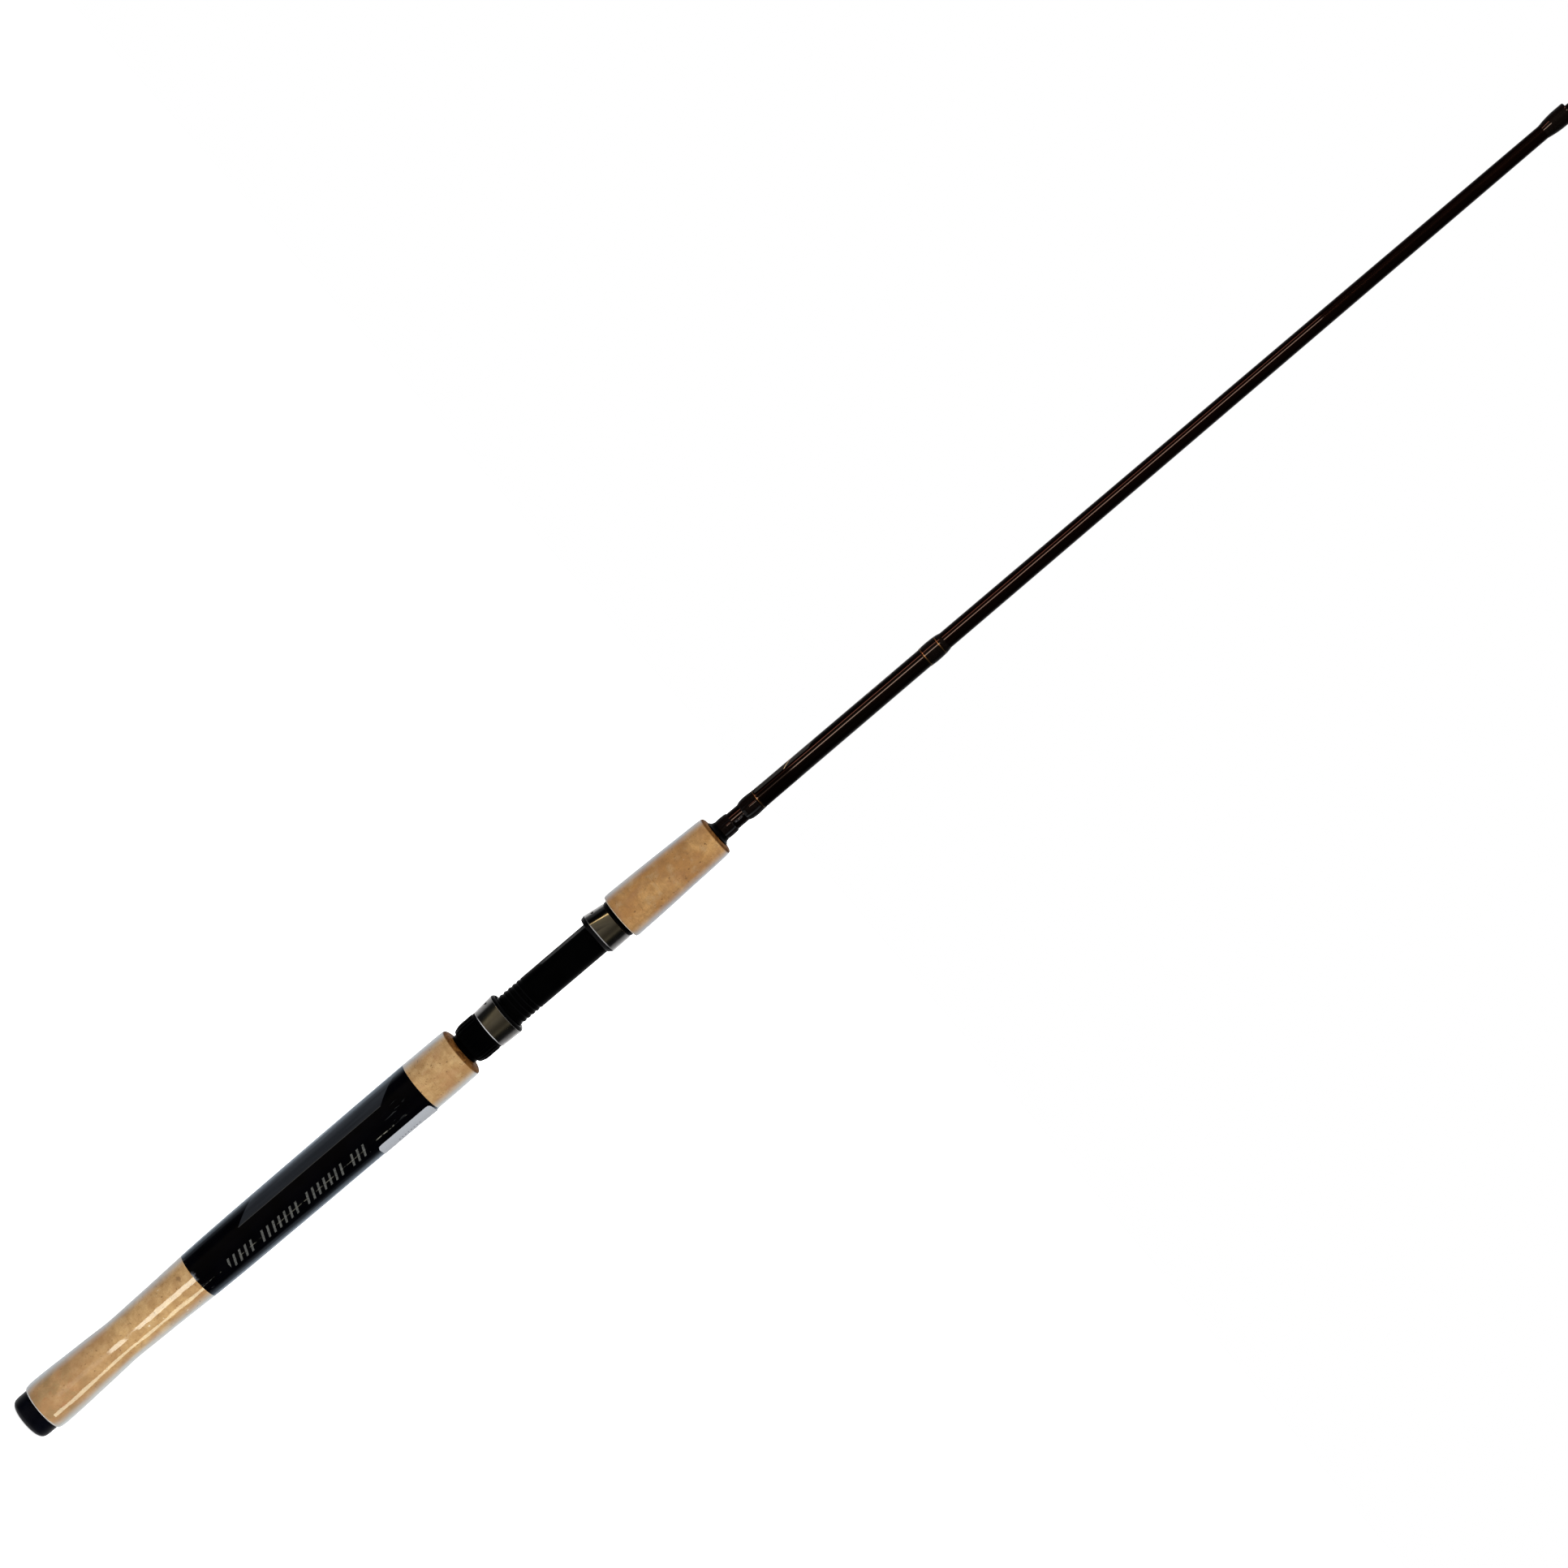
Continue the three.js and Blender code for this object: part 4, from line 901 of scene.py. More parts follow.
def cork_grip(name, node, stations, profile, look, noise_shift=0):
    """Turned cork, slightly uneven except near its two ends."""
    foot, top = stations[0][0], stations[-1][0]

    def wobble(angle, z):
        spot = Vector((math.cos(angle) * 2.2, math.sin(angle) * 2.2, (z + noise_shift) * 0.045))
        uneven = (0.05 * noise.noise(spot * 1.3)
                  + 0.03 * noise.noise(spot * 3.1 + Vector((7, 3, 1))))
        return uneven * clamp((z - foot) / 3) * clamp((top - z) / 3)

    inner = [(blank_radius(z) + CLEARANCE, z) for z in (top, foot)]
    turned(name, profile + inner, look, node, segments=144, wobble=wobble)


def rear_grip():
    """Cork with a shallow recess under the printed sleeve."""
    recess, margin = 0.3, 0.05
    profile = [(radius - recess if SLEEVE_FOOT - margin < z < SLEEVE_TOP + margin else radius, z)
               for radius, z in cork_profile(GRIP, pick(0.9))]
    for z, sign in ((SLEEVE_FOOT, -1), (SLEEVE_TOP, 1)):
        profile.append((spline(GRIP, z), z + sign * margin))
        profile.append((spline(GRIP, z) - recess, z + sign * 0.03))
    profile.sort(key=lambda point: (point[1], -point[0]))
    cork_grip("rear_grip_cork", "rear_grip", GRIP, profile, CORK)


def film_bead(name, radius, z, thickness, look):
    """Film rolled over the cork's lower edge."""
    profile = [(radius + thickness * math.cos(k / 12 * TAU),
                z + thickness * 0.9 * math.sin(k / 12 * TAU)) for k in range(12)]

    def wobble(angle, z):
        return 0.05 * noise.noise(Vector((math.cos(angle) * 4, math.sin(angle) * 4, z * 0.5)))

    turned(name, profile, look, segments=144, wobble=wobble, sharp=0)


def printed_sleeve():
    count = pick(200)
    levels = [SLEEVE_FOOT + (SLEEVE_TOP - SLEEVE_FOOT) * i / count for i in range(count + 1)]
    outer = [(spline(GRIP, z), z) for z in levels]
    inner = [(radius - 0.25, z) for radius, z in (outer[-1], outer[len(outer) // 2], outer[0])]

    def wobble(angle, z):
        spot = Vector((math.cos(angle) * 6.0, math.sin(angle) * 6.0, z * 0.035))
        return (0.05 * noise.noise(spot)
                + 0.025 * noise.noise(spot * 2.3 + Vector((3, 9, 4))) + 0.02)

    turned("grip_printed_sleeve", outer + inner, FILM, "grip_label_sleeve", segments=180,
           wobble=wobble)


def sticker():
    """Round-cornered paper label on the sleeve, one long edge lifting."""
    foot, top = 225.6, 259.8
    start, end = 295.0, 349.0            # degrees
    rows, columns = 56, 44
    corner, grip_radius = 2.2, 14.2
    verts, faces = [], []
    for side in (0, 1):                  # underside, then face
        for j in range(rows + 1):
            z = lerp(foot, top, j / rows)
            to_end = min(z - foot, top - z)
            inset = 0.0
            if to_end < corner:
                inset = corner - math.sqrt(max(0.0, corner ** 2 - (corner - to_end) ** 2))
            inset = inset / grip_radius * 180 / math.pi
            for i in range(columns + 1):
                angle = lerp(start + inset, end - inset, i / columns) * math.pi / 180
                curl = (max(0, i / columns - 0.93) / 0.07) ** 2
                curl *= 0.3 + 0.7 * smooth(j / rows, 0.6, 1.0)
                curl *= 1 if j > rows * 0.5 else 0.4
                radius = spline(GRIP, z) + 0.10 + 0.11 * side + 0.35 * curl
                verts.append((radius * math.cos(angle), radius * math.sin(angle), z))

    def index(side, j, i):
        return (side * (rows + 1) + j) * (columns + 1) + i

    for j in range(rows):
        for i in range(columns):
            faces.append((index(1, j, i), index(1, j, i + 1),
                          index(1, j + 1, i + 1), index(1, j + 1, i)))
            faces.append((index(0, j, i), index(0, j + 1, i),
                          index(0, j + 1, i + 1), index(0, j, i + 1)))
    rim = ([(0, i) for i in range(columns)] + [(j, columns) for j in range(rows)]
           + [(rows, i) for i in range(columns, 0, -1)] + [(j, 0) for j in range(rows, 0, -1)])
    for here, there in zip(rim, rim[1:] + rim[:1]):
        faces.append((index(0, *here), index(0, *there), index(1, *there), index(1, *here)))
    finish_mesh("stock_label", verts, faces, PAPER, "stock_sticker", sharp=40)


butt_cap()
rear_grip()
film_bead("rear_grip_film_edge", 12.80, 10.80, thickness=0.34, look=EDGE)
film_bead("foregrip_film_edge", 12.64, 393.35, thickness=0.2, look=EDGE_WARM)
printed_sleeve()
sticker()
cork_grip("foregrip_cork", "foregrip", FOREGRIP, cork_profile(FOREGRIP, pick(0.8)),
          CORK_FRONT, noise_shift=400)


# ---- reel seat --------------------------------------------------------------------------------
def barrel_radius(z, angle):
    if z < 292.6:
        return lerp(8.3, 8.5, clamp((z - SEAT_FOOT) / 0.4))
    # rounded thread, its crest at the middle of each pitch, fading out at both ends
    turn = ((z - THREAD_FOOT) / THREAD_PITCH - angle / TAU) % 1.0
    wave = clamp((0.5 - 0.5 * math.cos(TAU * turn)) * 1.25 - 0.05) ** 0.9
    strength = smooth(z, THREAD_FOOT, 295.4) * (1 - smooth(z, 332.9, 335.2))
    radius = lerp(THREAD_ROOT, THREAD_CREST, wave)
    if z > 334:
        radius = lerp(THREAD_CREST - 0.02, radius, strength)
    elif z > 332:
        radius = lerp(THREAD_CREST, radius, strength)
    elif z < 296:
        radius = lerp(THREAD_ROOT, radius, strength)
    # flat for the reel's foot on the -X side, with a short run-in
    cosine = math.cos(angle)
    if z > FLAT_START and cosine < -0.2:
        depth = lerp(THREAD_CREST + 0.02, FLAT_DEPTH, smooth(z, FLAT_START, FLAT_FULL))
        radius = min(radius, depth / -cosine)
    # keyway on the +X side
    if z < KEYWAY_TOP and cosine > 0.5 and abs(radius * math.sin(angle)) < KEYWAY_HALF_WIDTH:
        radius = min(radius, KEYWAY_FLOOR / cosine)
    return radius


def seat_barrel():
    step = pick(0.24)
    levels = [SEAT_FOOT, 289.6, 291.0, 292.5]
    levels += [THREAD_FOOT + step * i for i in range(int(42.4 / step) + 1)]
    levels += [335.6, 337, 339, 340.95, 341.05, 343, 346.1, 346.6, 347.1, 347.6, 348.1, 348.5,
               352, 358, 364, 370, 376.5, 376.7, 384, 392.7, SEAT_TOP]
    levels = sorted({round(z, 3) for z in levels})
    rows = [(z, partial(barrel_radius, z)) for z in levels]
    rows += [(z, lambda angle: SEAT_BORE) for z in (SEAT_TOP, SEAT_FOOT)]
    looped("seat_barrel", rows, SEAT, "reel_seat_barrel", sharp=40)


def rear_outer(z):
    share = (z - REAR_FOOT) / (REAR_LIP - REAR_FOOT)
    return lambda angle: (11.35 + 0.45 * share + (-0.4 + 0.6 * share)
                          * (0.35 * hump(angle, REEL_SIDE, 32, 60) + 0.65 * crisp(angle, 30, 61)))


def rear_bore(depth):
    """Bore with a pocket for the reel's foot and a small key on the +X side."""
    return lambda angle: (9.25 + depth * hump(angle, REEL_SIDE, 24, 44)
                          - 0.75 * hump(angle, 0, 5, 11))


def front_outer(z):
    share = clamp((z - FRONT_LIP) / (FRONT_TOP - FRONT_LIP))
    return lambda angle: (10.95 - 0.1 * share + 1.5 * (1 - share) ** 1.15
                          * (0.3 * hump(angle, REEL_SIDE, 34, 66)
                             + 0.7 * crisp(angle, 27 + 10 * share, 62 + 10 * share)))


def front_bore(depth):
    return raised(9.12, depth, REEL_SIDE, 26, 48)


def front_lip(depth):
    return lambda angle: (front_outer(FRONT_LIP)(angle)
                          - depth * (1 - 0.55 * hump(angle, REEL_SIDE, 26, 60)))


def dimpled(radius_at, z, dimple_z):
    def with_dimple(angle):
        radius = radius_at(angle)
        across = degrees_from(angle, DIMPLE_ANGLE) * math.pi / 180 * radius
        away = math.hypot(across, z - dimple_z)
        return radius - DIMPLE_DEPTH * (1 - smooth(away, DIMPLE_RADIUS * 0.62, DIMPLE_RADIUS))
    return with_dimple


def hood_cover(name, node, foot, top, outer, dimple_z, body):
    """Thin polished shell with rounded edges and one dimple."""
    count = pick(44)
    edges = (0, 0.08, 0.2, 0.35)
    levels = {foot + (top - foot) * i / count for i in range(1, count)}
    levels |= {foot + edge for edge in edges} | {top - edge for edge in edges}
    rows = []
    for z in sorted(levels):
        to_end = min(z - foot, top - z, COVER_EDGE)
        inset = COVER_EDGE - math.sqrt(max(0, COVER_EDGE ** 2 - (COVER_EDGE - to_end) ** 2))
        rows.append((z, dimpled(offset(outer(z), -inset), z, dimple_z)))
    middle = (foot + top) / 2
    # inside, from top to foot
    rows += [(top, offset(outer(top), -0.55)),
             (top - 0.1, offset(outer(top), -COVER_THICKNESS)),
             (middle, offset(outer(middle), -COVER_THICKNESS)),
             (foot + 0.1, offset(outer(foot), -COVER_THICKNESS)),
             (foot, offset(outer(foot), -0.55))]
    looped(name, rows, STEEL, node, body, segments=pick(420), sharp=45)


def sliding_hood_body():
    # (height above the cover's upper end, depth below the cover's surface)
    lip = [(0.08, 1.0), (0.08, 0.45), (0.13, 0.24), (0.3, 0.16), (0.6, 0.24), (0.95, 0.46),
           (1.25, 0.72), (1.5, 0.98), (1.65, 1.15), (1.7, 1.24)]
    # (z, pocket depth)
    bore = [(REAR_TOP - 0.25, 1.28), (REAR_LIP, 1.1), (REAR_FOOT + 2.5, 0.4),
            (REAR_FOOT + 2.3, 0), (REAR_FOOT, 0)]
    rows = [(REAR_FOOT, offset(rear_outer(REAR_FOOT), -1.0))]
    rows += [(REAR_LIP + rise, offset(rear_outer(REAR_LIP), -depth)) for rise, depth in lip]
    rows += [(REAR_TOP - 0.05, offset(rear_bore(1.3), 0.05))]
    rows += [(z, rear_bore(depth)) for z, depth in bore]
    looped("sliding_hood_body", rows, LINER, "rear_hood", HOOD)


def fixed_hood_body():
    # (height above the hood's foot, depth of the lip's slope)
    lip = [(0, 1.6), (0.1, 1.38), (0.45, 1.1), (0.95, 0.78), (1.5, 0.42), (1.9, 0.14),
           (2.18, 0.05)]
    # (z, depth below the cover's surface)
    under = [(FRONT_LIP - 0.12, 0.14), (FRONT_LIP - 0.06, 0.4), (FRONT_LIP - 0.06, 1.0),
             (FRONT_LIP + 5, 1.0), (FRONT_TOP, 1.0)]
    # (z, pocket depth)
    bore = [(FRONT_TOP, 0), (FRONT_TOP - 2.4, 0), (FRONT_TOP - 2.5, 0.6), (FRONT_LIP + 5, 1.1),
            (FRONT_LIP, 1.95), (FRONT_FOOT + 0.2, 2.15)]
    rows = [(FRONT_FOOT + rise, front_lip(depth)) for rise, depth in lip]
    rows += [(z, offset(front_outer(z), -depth)) for z, depth in under]
    rows += [(z, front_bore(depth)) for z, depth in bore]
    rows += [(FRONT_FOOT, offset(front_bore(2.15), 0.15))]
    looped("fixed_hood_body", rows, LINER, "front_hood")


def seat_end_ring():
    profile = [(9.12, 390.8), (10.45, 390.8), (10.76, 391.2), (10.76, 392.7), (10.5, SEAT_TOP),
               (9.12, SEAT_TOP)]
    turned("seat_end_ring", rounded(profile, radius=0.2, steps=3), LINER, "seat_front_ring",
           segments=128)


def lock_nut():
    # (height above the nut's foot, radius, groove depth)
    stations = [
        (0, 9.45, 0), (0.12, 9.75, 0), (0.5, 10.0, 0), (1.2, 10.28, 0.05), (2.2, 10.6, 0.18),
        (3.2, 10.88, 0.3), (4.2, 11.04, 0.4), (5.4, 11.07, 0.42), (8, 11.07, 0.42),
        (11.05, 11.07, 0.42), (11.65, 11.05, 0.34), (12.0, 11.0, 0.15), (12.25, 10.9, 0),
        (12.45, 10.72, 0), (12.7, 10.72, 0), (12.9, 10.88, 0), (13.35, 10.86, 0),
        (13.57, 10.7, 0), (13.65, 10.45, 0), (13.65, 9.5, 0), (13.45, 9.3, 0), (0.2, 9.3, 0),
        (0, 9.4, 0)]

    def ribbed(radius, depth):
        def radius_at(angle):
            turn = (angle / TAU * NUT_RIBS) % 1.0
            groove = 1 - abs(2 * turn - 1)       # 0 on a rib's middle, 1 in the groove
            return radius - depth * smooth(groove, 0.30, 0.86)
        return radius_at

    rows = [(NUT_FOOT + rise, ribbed(radius, depth)) for rise, radius, depth in stations]
    looped("lock_nut_ribbed", rows, NUT_LOOK, "lock_nut", NUT,
           segments=NUT_RIBS * pick(14), sharp=50)


def tape_arbors():
    """The CAD arbors inside the seat stay and only take a material."""
    for number in (1, 2, 3):
        arbor = NODES[f"seat_arbor_{number}"]
        if not arbor.material_slots:
            arbor.data.materials.append(TAPE)
        for slot in arbor.material_slots:
            slot.link = "OBJECT"
            slot.material = TAPE


seat_barrel()
hood_cover("sliding_hood_cover", "rear_hood_cover", REAR_FOOT, REAR_LIP, rear_outer,
           REAR_DIMPLE_Z, HOOD)
sliding_hood_body()
hood_cover("fixed_hood_cover", "front_hood_cover", FRONT_LIP, FRONT_TOP, front_outer,
           FRONT_DIMPLE_Z, ROOT)
fixed_hood_body()
seat_end_ring()
lock_nut()
tape_arbors()


# ---- windings and hook keeper in front of the foregrip ----------------------------------------
def ring_on(name, node, stations, look, count=None, body=ROOT, core=blank_radius, segments=96):
    """Ring round a tube, through (z, radius) stations."""
    foot, top = stations[0][0], stations[-1][0]
    count = count or max(8, int((top - foot) * 3))
    levels = [lerp(foot, top, i / count) for i in range(count + 1)]
    inner = [(core(z) + CLEARANCE, z) for z in (top, foot)]
    turned(name, [(spline(stations, z), z) for z in levels] + inner, look, node, body, segments)


def keeper_wrap(name, node, stations):
    """Winding that swells over the hook keeper's foot; stations are (z, radius, lift)."""
    radii = [(z, radius) for z, radius, _ in stations]
    lifts = [(z, lift) for z, _, lift in stations]
    foot, top = stations[0][0], stations[-1][0]
    rows = []
    for i in range(41):
        z = lerp(foot, top, i / 40)
        rows.append((z, raised(spline(radii, z), spline(lifts, z), KEEPER_ANGLE, 7, 36)))
    rows += [(z, raised(blank_radius(z) + CLEARANCE, 1.2, KEEPER_ANGLE, 10, 34))
             for z in (top, foot)]
    looped(name, rows, WRAP, node, segments=144, sharp=50)


def hook_keeper():
    wire_radius = 0.5
    low = blank_radius(462) + 0.08 + wire_radius
    # (z, height of the wire's middle above its feet)
    bend = [(462, 0), (464.5, 0), (466.6, 0), (467.7, 0.04), (468.3, 0.55), (468.9, 1.35),
            (469.8, 2.2), (470.95, 2.55), (472.1, 2.2), (473.0, 1.35), (473.6, 0.55),
            (474.2, 0.04), (475.3, 0), (477.5, 0), (479.5, 0)]
    angle = KEEPER_ANGLE * math.pi / 180
    path = catmull([(math.cos(angle) * (low + rise), math.sin(angle) * (low + rise), z)
                    for z, rise in bend], steps=6)
    verts, faces = wire(path, lambda share: wire_radius if 0.12 < share < 0.88 else 0.44, 16)
    finish_mesh("hook_keeper_wire", verts, faces, WIRE, "hook_keeper", sharp=0)


ring_on("winding_check_collar", "winding_check",
        [(457.2, 7.0), (457.4, 7.2), (457.8, 6.98), (458.3, 6.35), (458.9, 5.88), (459.6, 5.6),
         (460.1, 5.52), (460.4, 5.46)], (LINER[0], "nut_plastic"), count=30)
keeper_wrap("keeper_rear_winding", "keeper_rear_wrap",
            [(460.5, 5.34, 1.15), (461.0, 5.48, 1.25), (462.6, 5.55, 1.35), (465.6, 5.5, 1.4),
             (466.7, 5.36, 1.32), (467.3, 5.05, 1.2)])
keeper_wrap("keeper_front_winding", "keeper_front_wrap",
            [(474.7, 5.02, 1.2), (475.4, 5.28, 1.3), (477.0, 5.66, 1.42), (479.8, 5.85, 1.35),
             (482.4, 5.72, 1.28), (483.7, 5.6, 1.2)])
ring_on("keeper_metallic_trim", "keeper_trim_band",
        [(483.8, 5.6), (484.6, 5.62), (485.4, 5.52)], TRIM)
ring_on("coated_label_tube", "label_coat",
        [(485.5, 5.49), (486.5, 5.44), (489.5, 5.37), (540, 5.28), (594.6, 5.2)], LABEL,
        count=120)
ring_on("deco_metallic_trim_rear", "deco_trim_rear",
        [(594.7, 5.3), (595.4, 5.42), (596.3, 5.44)], TRIM)
ring_on("deco_winding", "deco_wrap",
        [(596.4, 5.45), (597.6, 5.53), (599.7, 5.57), (602.2, 5.52), (604.1, 5.42)], WRAP)
ring_on("deco_metallic_trim_front", "deco_trim_front",
        [(604.2, 5.42), (604.9, 5.38), (605.6, 5.3)], TRIM)
ring_on("deco_finish_winding", "deco_finish_wrap",
        [(605.7, 5.28), (606.6, 5.12), (607.6, 4.9), (608.2, 4.76)], WRAP, count=16)
ring_on("ferrule_winding", "ferrule_wrap",
        [(1005.1, 4.02), (1006.2, 4.2), (1008, 4.52), (1011, 4.88), (1014, 5.08), (1017, 5.12),
         (1020.3, 5.12), (1020.9, 5.08), (1021.3, 4.9)], WRAP, count=60)
hook_keeper()


# ---- the two tubes ----------------------------------------------------------------------------
def butt_blank():
    foot, rim = 3.6, FERRULE_END - 0.2
    outer = [(blank_radius(foot) - 0.3, foot), (blank_radius(foot), 3.9)]
    outer += [(blank_radius(z), z) for z in (470, 608.4, 1004.3, rim)]
    outer += [(blank_radius(FERRULE_END) - 0.15, FERRULE_END)]
    inner = [(linear(BLANK_BORE, FERRULE_END) + 0.15, FERRULE_END),
             (linear(BLANK_BORE, rim), rim), (3.1, 959), (3.1, 940),
             (linear(BLANK_BORE, foot), foot)]
    turned("butt_blank_tube", split_long(outer, 12.0) + split_long(inner, 60.0), BLANK,
           "butt_blank")


def tip_blank():
    profile = [(0, 1975.4), (tip_radius(1975) - 0.1, 1975.4), (tip_radius(1975), 1975.2)]
    profile += [(tip_radius(z), z) for z in (1650, 1300, FERRULE_END)]
    profile += [(tip_radius(959.6), 960.2), (2.75, 959.6), (2.1, 959.6), (2.1, FERRULE_END),
                (1.5, 1300), (0.5, 1640), (0, 1642)]
    turned("tip_blank_tube", split_long(profile, 14.0), BLANK, "tip_blank", TIP, segments=72)


butt_blank()
tip_blank()

# ---- line guides ------------------------------------------------------------------------------
# (z, hoop diameter, height of the hoop's middle, feet, reach of the legs, foot length, wire radius)
GUIDES = [
    (1091, 25, 21.5, 2, 15, 13, 0.8), (1306, 16, 14.6, 2, 11, 11, 0.7),
    (1486, 12, 11.6, 2, 8.5, 9.5, 0.62), (1636, 10, 9.6, 1, 6.5, 10, 0.55),
    (1766, 8, 7.9, 1, 5.5, 9.5, 0.5), (1881, 7, 6.9, 1, 5, 9, 0.48)]
FOOT_THICKNESS = 0.75
WRAP_SLACK = math.cos(math.pi / 12)      # lifts the wrap clear of the foot's corners


def guide_wrap(number, side, foot, top, base, foot_width):
    """Winding over a guide's foot, whose underside lies at radius base."""
    lift = (math.hypot(base + FOOT_THICKNESS, foot_width) / WRAP_SLACK
            - tip_radius(top) + 0.02)
    rows = []
    for i in range(49):
        z = lerp(foot, top, i / 48)
        to_end = min(z - foot, top - z)
        radius = tip_radius(z) + 0.06 + 0.26 * smooth(to_end, 0.0, 1.5)
        local_lift = lift * (0.82 + 0.18 * smooth(to_end, 0.0, 1.2))
        rows.append((z, raised(radius, local_lift, REEL_SIDE, 26, 66)))
    rows += [(z, raised(tip_radius(z) + 0.03, lift - 0.16, REEL_SIDE, 30, 62))
             for z in (top, foot)]
    looped(f"guide_{number}_{side}_winding", rows, WRAP, f"guide_{number}_{side}_wrap", TIP,
           segments=72, sharp=50)


def foot_part(base, far, near, width):
    """Flattened foot along the blank, thinned from near, by the ring, to far, its tip."""
    steps, sides = 26, 14
    verts, faces = [], []

    def boxy(value):
        return math.copysign(abs(value) ** 0.7, value)

    for i in range(steps + 1):
        share = i / steps
        half_width = width * (0.28 + 0.72 * smooth(share, 0.0, 0.45))
        thickness = 0.16 + (FOOT_THICKNESS - 0.16) * smooth(share, 0.0, 0.6)
        for k in range(sides):
            angle = k / sides * TAU
            verts.append((-(base + thickness / 2) - boxy(math.cos(angle)) * thickness / 2,
                          boxy(math.sin(angle)) * half_width, lerp(far, near, share)))
    for i in range(steps):
        for k in range(sides):
            l = (k + 1) % sides
            faces.append((i * sides + k, (i + 1) * sides + k, (i + 1) * sides + l,
                          i * sides + l))
    for first in (0, steps * sides):
        middle = sum(verts[first + k][0] for k in range(sides)) / sides
        pole = len(verts)
        verts.append((middle, 0, verts[first][2]))
        for k in range(sides):
            here, there = first + k, first + (k + 1) % sides
            faces.append((pole, there, here) if first else (pole, here, there))
    return verts, faces


def hoop(inner, outer, half, corner, segments, centre):
    profile = [(inner, -half), (outer, -half), (outer, half), (inner, half)]
    return lathe(rounded(profile, radius=corner, steps=3), segments, centre=centre)


def ceramic_ring(name, node, inner, outer, heights, points, segments, centre):
    """Full, rounded ring; heights are the half heights of its inner and outer halves."""
    profile = []
    for k in range(points):
        angle = k / points * TAU
        height = heights[0] if math.cos(angle) > 0 else heights[1]
        profile.append(((inner + outer) / 2 - (outer - inner) / 2 * math.cos(angle),
                        height * math.sin(angle)))
    turned(name, profile, CERAMIC, node, TIP, segments, centre=centre, sharp=0)


def line_guide(number, z, size, height, feet, reach, foot, wire_radius):
    radius = size / 2
    hoop_inner = radius - 0.75
    half = 0.55 + radius * 0.03
    foot_width = min(1.2, 0.5 + tip_radius(z) * 0.35)
    centre = (-height, 0, z)
    # rear foot, with a leg to each side of the hoop
    rear = z - reach
    base = tip_radius(rear - foot) + 0.1
    parts = [hoop(hoop_inner, radius, half, corner=0.22, segments=120, centre=centre),
             foot_part(base, rear - foot, rear + 0.6, foot_width)]
    side = radius - 0.35
    joint_angle = math.radians(38)
    joint_x = -height + side * math.sin(joint_angle)
    for sign in (1, -1):
        parts.append(strut([(joint_x, sign * side * math.cos(joint_angle), z - 0.1),
                            (joint_x + (height - side - base) * 0.35, sign * side * 0.62,
                             z - reach * 0.45),
                            (-base - 0.45, sign * (foot_width - 0.3), rear + 0.2)],
                           wire_radius, sides=14))
    if feet == 2:
        # front foot, with two legs from the hoop's side nearest the blank
        front = z + reach * 0.72
        front_base = tip_radius(front) + 0.1
        parts.append(foot_part(front_base, front + foot, front - 0.6, foot_width))
        for sign in (1, -1):
            parts.append(strut([(-height + radius - 0.35, sign * radius * 0.14, z + 0.1),
                                ((-height + radius - front_base) * 0.5, sign * radius * 0.09,
                                 z + reach * 0.42),
                                (-front_base - 0.4, sign * (foot_width - 0.35), front)],
                               wire_radius, sides=14))
        guide_wrap(number, "front", front + 1.2, front + foot + 2.2, front_base, foot_width)
    welded(f"guide_{number}_wire_frame", parts, f"guide_{number}_frame",
           voxel=0.2 if size > 20 else 0.15)
    guide_wrap(number, "rear", rear - foot - 2.2, rear - 1.2, base, foot_width)
    ring_half = half + 0.45
    ceramic_ring(f"guide_{number}_ceramic_ring", f"guide_{number}_ring",
                 inner=radius * 0.76 - 0.35, outer=hoop_inner - 0.05,
                 heights=(ring_half * 0.96, ring_half * 0.9), points=28, segments=96,
                 centre=centre)


def tip_top():
    """Socket on the rod's tip with a small hoop on the -X side."""
    foot, top = 1964.4, 1977.4
    z, height, radius = 1980.05, 4.2, 3.3
    centre = (-height, 0, z)
    socket_radius, bore = tip_radius(foot) + 0.5, tip_radius(foot) + 0.05
    socket = [(bore, foot), (socket_radius, foot), (socket_radius, top - 0.6),
              (socket_radius - 0.4, top), (0.02, top), (0.02, top - 1.4), (bore, top - 1.4)]
    parts = [hoop(radius - 0.6, radius, half=0.6, corner=0.2, segments=96, centre=centre),
             lathe(rounded(socket, radius=0.12, steps=2), 48)]
    for sign in (1, -1):
        parts.append(strut([(-height, sign * (radius - 0.25), z),
                            (-height * 0.62, sign * (radius - 0.6), z - 4),
                            (-0.9, sign * 0.7, foot + 3.5)], 0.42, sides=12))
    parts.append(strut([(-height + radius - 0.25, 0, z), (-0.4, 0, z - 1.2),
                        (-0.2, 0, top - 1.2)], 0.5, sides=12))
    welded("tip_top_wire_frame", parts, "tip_top_frame", voxel=0.12)
    ceramic_ring("tip_top_ceramic_ring", "tip_top_ring", inner=1.55, outer=radius - 0.65,
                 heights=(0.93, 0.93), points=24, segments=72, centre=centre)
    # (z, z where the tube's radius is taken, height above it)
    stations = [(1957.4, 1957, 0.12), (1958.6, 1959, 0.32), (1961, 1961, 0.42),
                (1963.2, 1963, 0.4), (1964.2, 1964, 0.28)]
    ring_on("tip_top_winding", "tip_top_wrap",
            [(level, tip_radius(at) + rise) for level, at, rise in stations], WRAP,
            body=TIP, core=tip_radius, segments=64)


for guide_number, guide in enumerate(GUIDES, 1):
    line_guide(guide_number, *guide)
tip_top()

# ---- floor, light and camera, in metres -------------------------------------------------------
scene = bpy.context.scene
scene.view_settings.view_transform = "Standard"
scene.view_settings.look = "None"

